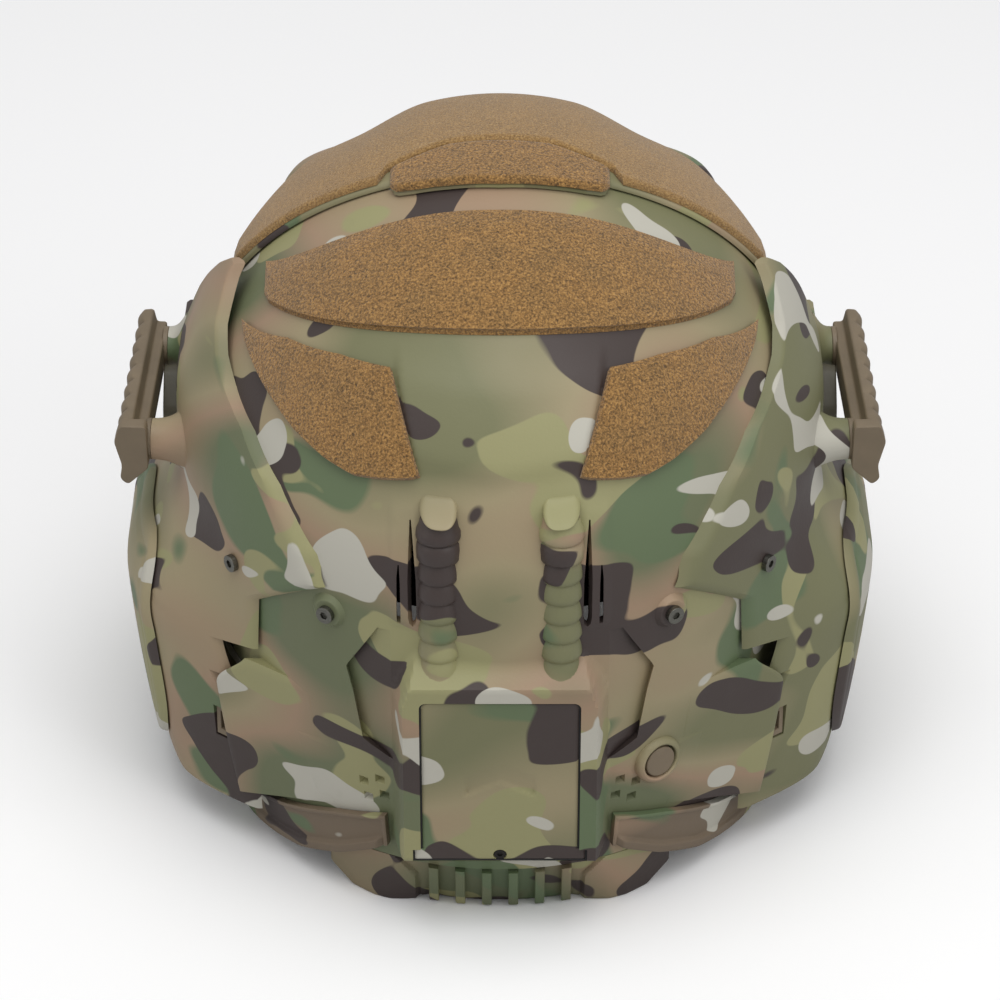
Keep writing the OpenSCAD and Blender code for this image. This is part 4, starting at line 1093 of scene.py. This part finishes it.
def visor():
    half = visorLook["half"]
    bm = shape(visorSheet, half, 0, 0, visorLook["thick"], 1.0)
    piece = newPiece("visorFrame", bm, "camoPlate", "visor_frame", 40, "visor")
    cutAway(piece, [shape(visorSheet, 92, 5, -4, 10), shape(visorSheet, 97, 2.8, -4, 2.8)])
    bm = bmesh.new()
    for side in (1, -1):
        outline = convexOutline(circlePoints(*pivot, visorLook["arm"]) + visorLook["armEnd"])
        prismAt(bm, outline, half, half + visorLook["armThick"], sideways(side))
    arms = newPiece("visorArms", bm, "camoPlate", "visor_frame", 40, "visor")
    cutAway(arms, [shape(barAt, pinHole, pinHole, -130, 130, place((0, *pivot), ("Y", 90)), 32)])
    softEdge(arms, 0.3)
    newPiece("visorLens", shape(visorSheet, 96.6, 3, 0.5, 2.5, 0.3), "lensTint", "visor_lens", 40, "visor")
    bm = shape(visorSheet, 95, 3.2, -3, 0.3, 0.8)
    gasket = newPiece("visorGasket", bm, "gasketRubberAndGapShade", "visor_gasket", 40, "visor")
    cutAway(gasket, [shape(visorSheet, 89, 6.5, -8, 6)])


strapLook = {  # mm and degrees
    "swing": 96, "width": 18, "sides": 112, "nape": 51, "across": 89, "back": 82, "thick": 1.6,
}


def napeStrap():
    look = strapLook

    def strap(v, u):
        a = radians(mix(look["swing"], -look["swing"], u))
        z = mix(look["sides"], look["nape"], cos(a * 0.93) ** 2) + look["width"] * v
        d = min(v, 1 - v) * look["width"]
        t = look["thick"] - rounded(d, 0.7) - 0.25 * ease(1 - abs(d - 2.2) / 0.7)
        return (((look["across"] + t) * sin(a), (look["back"] + t) * cos(a), z),
                (look["across"] * sin(a), look["back"] * cos(a), z))
    newPiece("napeStrap", shape(addSheet, steps(0, 1, 0.05), parts(180), strap), "strapWeb", "nape_strap", 50)


def batteryDoor():
    look = doorLook
    levels = steps(look["low"], -33.3, 0.6) + [-33.16, -33.14] + steps(-32.6, 31, 1.0)
    levels += steps(31.2, 33.13, 0.16) + [look["high"]]

    def leaf(z, u):
        half = look["half"] + (look["foot"] if z < look["step"] else 0)
        if z > 31.15:
            half += 2 * root(1 - ((z - 31.15) / 2) ** 2) - 2
        x = mix(half, -half, u)
        drop = rounded(min(half - abs(x), 33.2 - z, z + 38.2), 0.5)
        # the crease runs down to both sides from the middle
        over = z + 2.3 + 6.4 * abs(x) / 12.3
        depth = (0.45 + 0.75 * abs(x) / 12.3) * ease((over + 0.3) / 0.7) * max(0, 1 - over / 9)
        crease = depth * ease((12.8 - abs(x)) / 0.8) if over > -0.3 else 0
        return doorSpot @ Vector((x, -0.2 - drop - crease, z)), doorSpot @ Vector((x, look["back"], z))
    bm = shape(addSheet, levels, parts(70), leaf)
    piece = newPiece("batteryDoor", bm, "camoDoor", "battery_door", 40, "battery_door")
    spot = doorSpot @ place((0, 0, look["screwZ"]), ("X", -90))
    cutAway(piece, [shape(barAt, 1.55, 1.55, -10, 10, spot, 32), shape(barAt, 2.35, 2.6, -1.4, 1, spot)])
    bm = shape(barAt, 1.2, 1.2, -30, 30, doorSpot @ place((0, -1.7, look["hingeZ"]), ("Y", 90)), 32)
    softEdge(newPiece("doorHinge", bm, "camoDoor", "battery_door", 40, "battery_door"), 0.2)
    # Dark ring sunk in the gap round the door: painted shade, so that the gap reads as a dark line
    bm = shape(ringAt, doorOutline(0.6), doorOutline(0.05), -3.65, -0.35, doorSpot)
    newPiece("doorGapShade", bm, "gasketRubberAndGapShade", "rear_shell")


fanLook = {  # mm and degrees
    "x": 41.58, "y": 102.92, "z": 150, "turn": -22, "outer": 15.9, "inner": 14.7, "pitch": 2.4, "tilt": 33,
}


# Louvres on the inner side of the fans
def fanLouvres():
    look = fanLook
    for side, name in sides:
        spot = place((side * look["x"], look["y"], look["z"]), ("Z", look["turn"] * side))
        bm = shape(ringAt, circlePoints(0, 0, look["outer"]), circlePoints(0, 0, look["inner"]), -12.8, -10.3, spot)
        for z in steps(-13.2, 13.2, look["pitch"]):
            half = sqrt(15.2 ** 2 - z * z)
            boxAt(bm, (-half, -0.25, -1.5), (half, 0.25, 1.5), spot @ place((0, -11.45, z), ("X", look["tilt"])))
        newPiece("fanLouvre_" + name, bm, "blackPlastic", "fan_housing_" + name)


sidePanels()
rails()
earCovers()
jawGuard()
print("side and jaw built")
neckGuard()
scoops()
sleeves()
batteryDoor()
print("back details built")
visor()
napeStrap()
fanLouvres()
print("visor, strap and louvres built")

# Small parts: the CAD solids with merged faces and soft edges
smallParts = {  # finish, width of the soft edge in mm, and the body where it isn't the helmet
    "side_hook_left": ("sandPlastic", 0.4), "side_hook_right": ("sandPlastic", 0.4),
    "visor_pivots": ("hubPlastic", 0.5), "rail_screws": ("screwSteel", 0.15),
    "shell_screws": ("screwSteel", 0.15), "jaw_grille": ("blackPlastic", 0.2),
    "fan_housing_left": ("blackPlastic", 0.4), "fan_housing_right": ("blackPlastic", 0.4),
    "fan_rotor_left": ("greyPlastic", 0.15, "fan_left"), "fan_rotor_right": ("greyPlastic", 0.15, "fan_right"),
    "battery_tray": ("blackPlastic", 0.4), "battery_cells": ("cellWrap", 0.4),
    "door_screw": ("darkSteel", 0.12, "battery_door"), "power_button": ("sandPlastic", 0.6, "power_button"),
    "switch_body": ("blackPlastic", 0.3), "circuit_board": ("boardMask", 0.15), "dial_housing": ("blackPlastic", 0.6),
    "dial_knob": ("camoPlate", 0.6, "fit_dial"),
}
for node, values in smallParts.items():
    softCopy(node, *values)
print("small parts finished")


# Pads: knitted covers blown up over a slightly smaller shape, then channels sewn into the face to the head
padLook = {  # mm, and the channels across each pad from its middle
    "shrink": 1.0, "voxel": 4.0, "pressure": 4.0, "cap": 5.0, "gap": 3.7, "channelWidth": 3.0, "channelDepth": 2.2,
    "stiffness": 20, "frames": 20, "fill": 0.7,
    "channels": {"crown_pad": [-21, 0, 21], "front_pad": [-26, 0, 26], "rear_pad": [-24, 0, 24],
                 "side_pad_left": [0], "side_pad_right": [0]},
}


# Brings a point back inside the shell's wall
def insideWall(p):
    x, y, z = unseated(p)
    a, b = wide(z, -padLook["gap"]), deep(z, -padLook["gap"], y > 0)
    value = (x / a) ** 2 + (y / b) ** 2 + climb(z, -padLook["gap"]) ** 2
    if value <= 1:
        return p
    k = 1 / sqrt(value)
    return seated((x * k, y * k, dome["ring"] + (z - dome["ring"]) * k if z > dome["ring"] else z))


def padShape(node):
    bm = nodeShape(node)
    bm.normal_update()
    for v in bm.verts:
        v.co -= v.normal * padLook["shrink"] * 0.001
    piece = newPiece(node + "_cushion", bm, "padKnit", node, 180)
    remesh = piece.modifiers.new("remesh", "REMESH")
    remesh.mode = "VOXEL"
    remesh.voxel_size = padLook["voxel"] * 0.001
    applyModifiers(piece, 180)
    return piece


def inflate(pieces):
    before = [[v.co.copy() for v in piece.data.vertices] for piece in pieces]
    for piece in pieces:
        cloth = piece.modifiers.new("cloth", "CLOTH")
        cloth.settings.quality = 5
        cloth.settings.use_pressure = True
        cloth.settings.uniform_pressure_force = padLook["pressure"]
        cloth.settings.effector_weights.gravity = 0
        cloth.settings.tension_stiffness = cloth.settings.compression_stiffness = padLook["stiffness"]
        cloth.collision_settings.use_collision = False
        cloth.point_cache.frame_end = padLook["frames"]
    for i in range(padLook["frames"]):
        bpy.context.scene.frame_set(i + 1)
    for piece, old in zip(pieces, before):
        applyModifiers(piece, 180)
        cap = padLook["cap"] * 0.001
        for v, start in zip(piece.data.vertices, old):
            way = v.co - start
            v.co = start + (way if way.length < cap else way * (cap / way.length))
    bpy.context.scene.frame_set(1)


def sewChannels(piece, node):
    middle = sum((v.co for v in piece.data.vertices), Vector()) / len(piece.data.vertices)
    centre = seated((0, 0, dome["ring"]))
    across = Vector((0, 1, 0)) if node.startswith("side") else Vector((1, 0, 0))
    for v in piece.data.vertices:
        inwards = (centre - v.co).normalized()
        if v.normal.dot(inwards) < 0.35:
            continue
        at = (v.co - middle).dot(across) * 1000
        near = min(abs(at - c) for c in padLook["channels"][node])
        v.co -= inwards * padLook["channelDepth"] * 0.001 * ease(1 - near / padLook["channelWidth"])


def makeFiner(piece):
    finer = piece.modifiers.new("finer", "SUBSURF")
    finer.levels = finer.render_levels = 1


def pads():
    pieces = [padShape(node) for node in padLook["channels"]]
    inflate(pieces)
    for piece, node in zip(pieces, padLook["channels"]):
        makeFiner(piece)
        applyModifiers(piece, 180)
        sewChannels(piece, node)
        for v in piece.data.vertices:
            v.co = insideWall(v.co)
        makeFiner(piece)


pads()
print("pads built")


# Floor, light and camera
def paleFloor(tree):
    ray = tree.nodes.new("ShaderNodeLightPath").outputs["Is Camera Ray"]
    return {"Base Color": over(tree, (0.6, 0.6, 0.605, 1), (0.985, 0.985, 0.99, 1), ray), "Roughness": 0.9,
            "Specular IOR Level": 0.0}


bm = bmesh.new()
bmesh.ops.create_grid(bm, x_segments=1, y_segments=1, size=6.0)
floorMesh = bpy.data.meshes.new("floor")
bm.to_mesh(floorMesh)
bm.free()
floorMesh.materials.append(newFinish("floorPaint", paleFloor))
floor = newObject("floor", floorMesh)

world = bpy.data.worlds.new("studio")
bpy.context.scene.world = world
world.use_nodes = True
feed(world.node_tree, world.node_tree.nodes["Background"], {"Color": (1, 1, 1, 1), "Strength": 0.5})


def aimed(thing, start, aim):
    thing.location = start
    thing.rotation_euler = (Vector(aim) - thing.location).to_track_quat("-Z", "Y").to_euler()


lamps = {  # metres: where each stands, what it faces and its size; then its watts
    "topLamp": ((-0.05, 0.45, 1.9), (0, 0, 0.1), 1.5, 20),
    "sideLamp": ((-1.3, 1.2, 1.1), (0, 0, 0.12), 1.2, 6.5),
    "fillLamp": ((1.5, 0.8, 0.8), (0, 0, 0.12), 1.4, 3),
}
for name, (start, aim, size, power) in lamps.items():
    lamp = bpy.data.lights.new(name, "AREA")
    lamp.energy = power
    lamp.size = size
    aimed(newObject(name, lamp), start, aim)

view = {"distance": 1.6, "elevation": 33.0, "target": (0, seatY * 0.001, 0.107), "lens": 154.84}  # metres, degrees
camera = bpy.data.cameras.new("camera")
camera.lens = view["lens"]
camera.sensor_width = 36
cameraObject = newObject("camera", camera)
lift = radians(view["elevation"])
target = Vector(view["target"])
aimed(cameraObject, target + view["distance"] * Vector((0, cos(lift), sin(lift))), target)
bpy.context.scene.camera = cameraObject
bpy.context.scene.view_settings.view_transform = "Standard"
print("stage set")
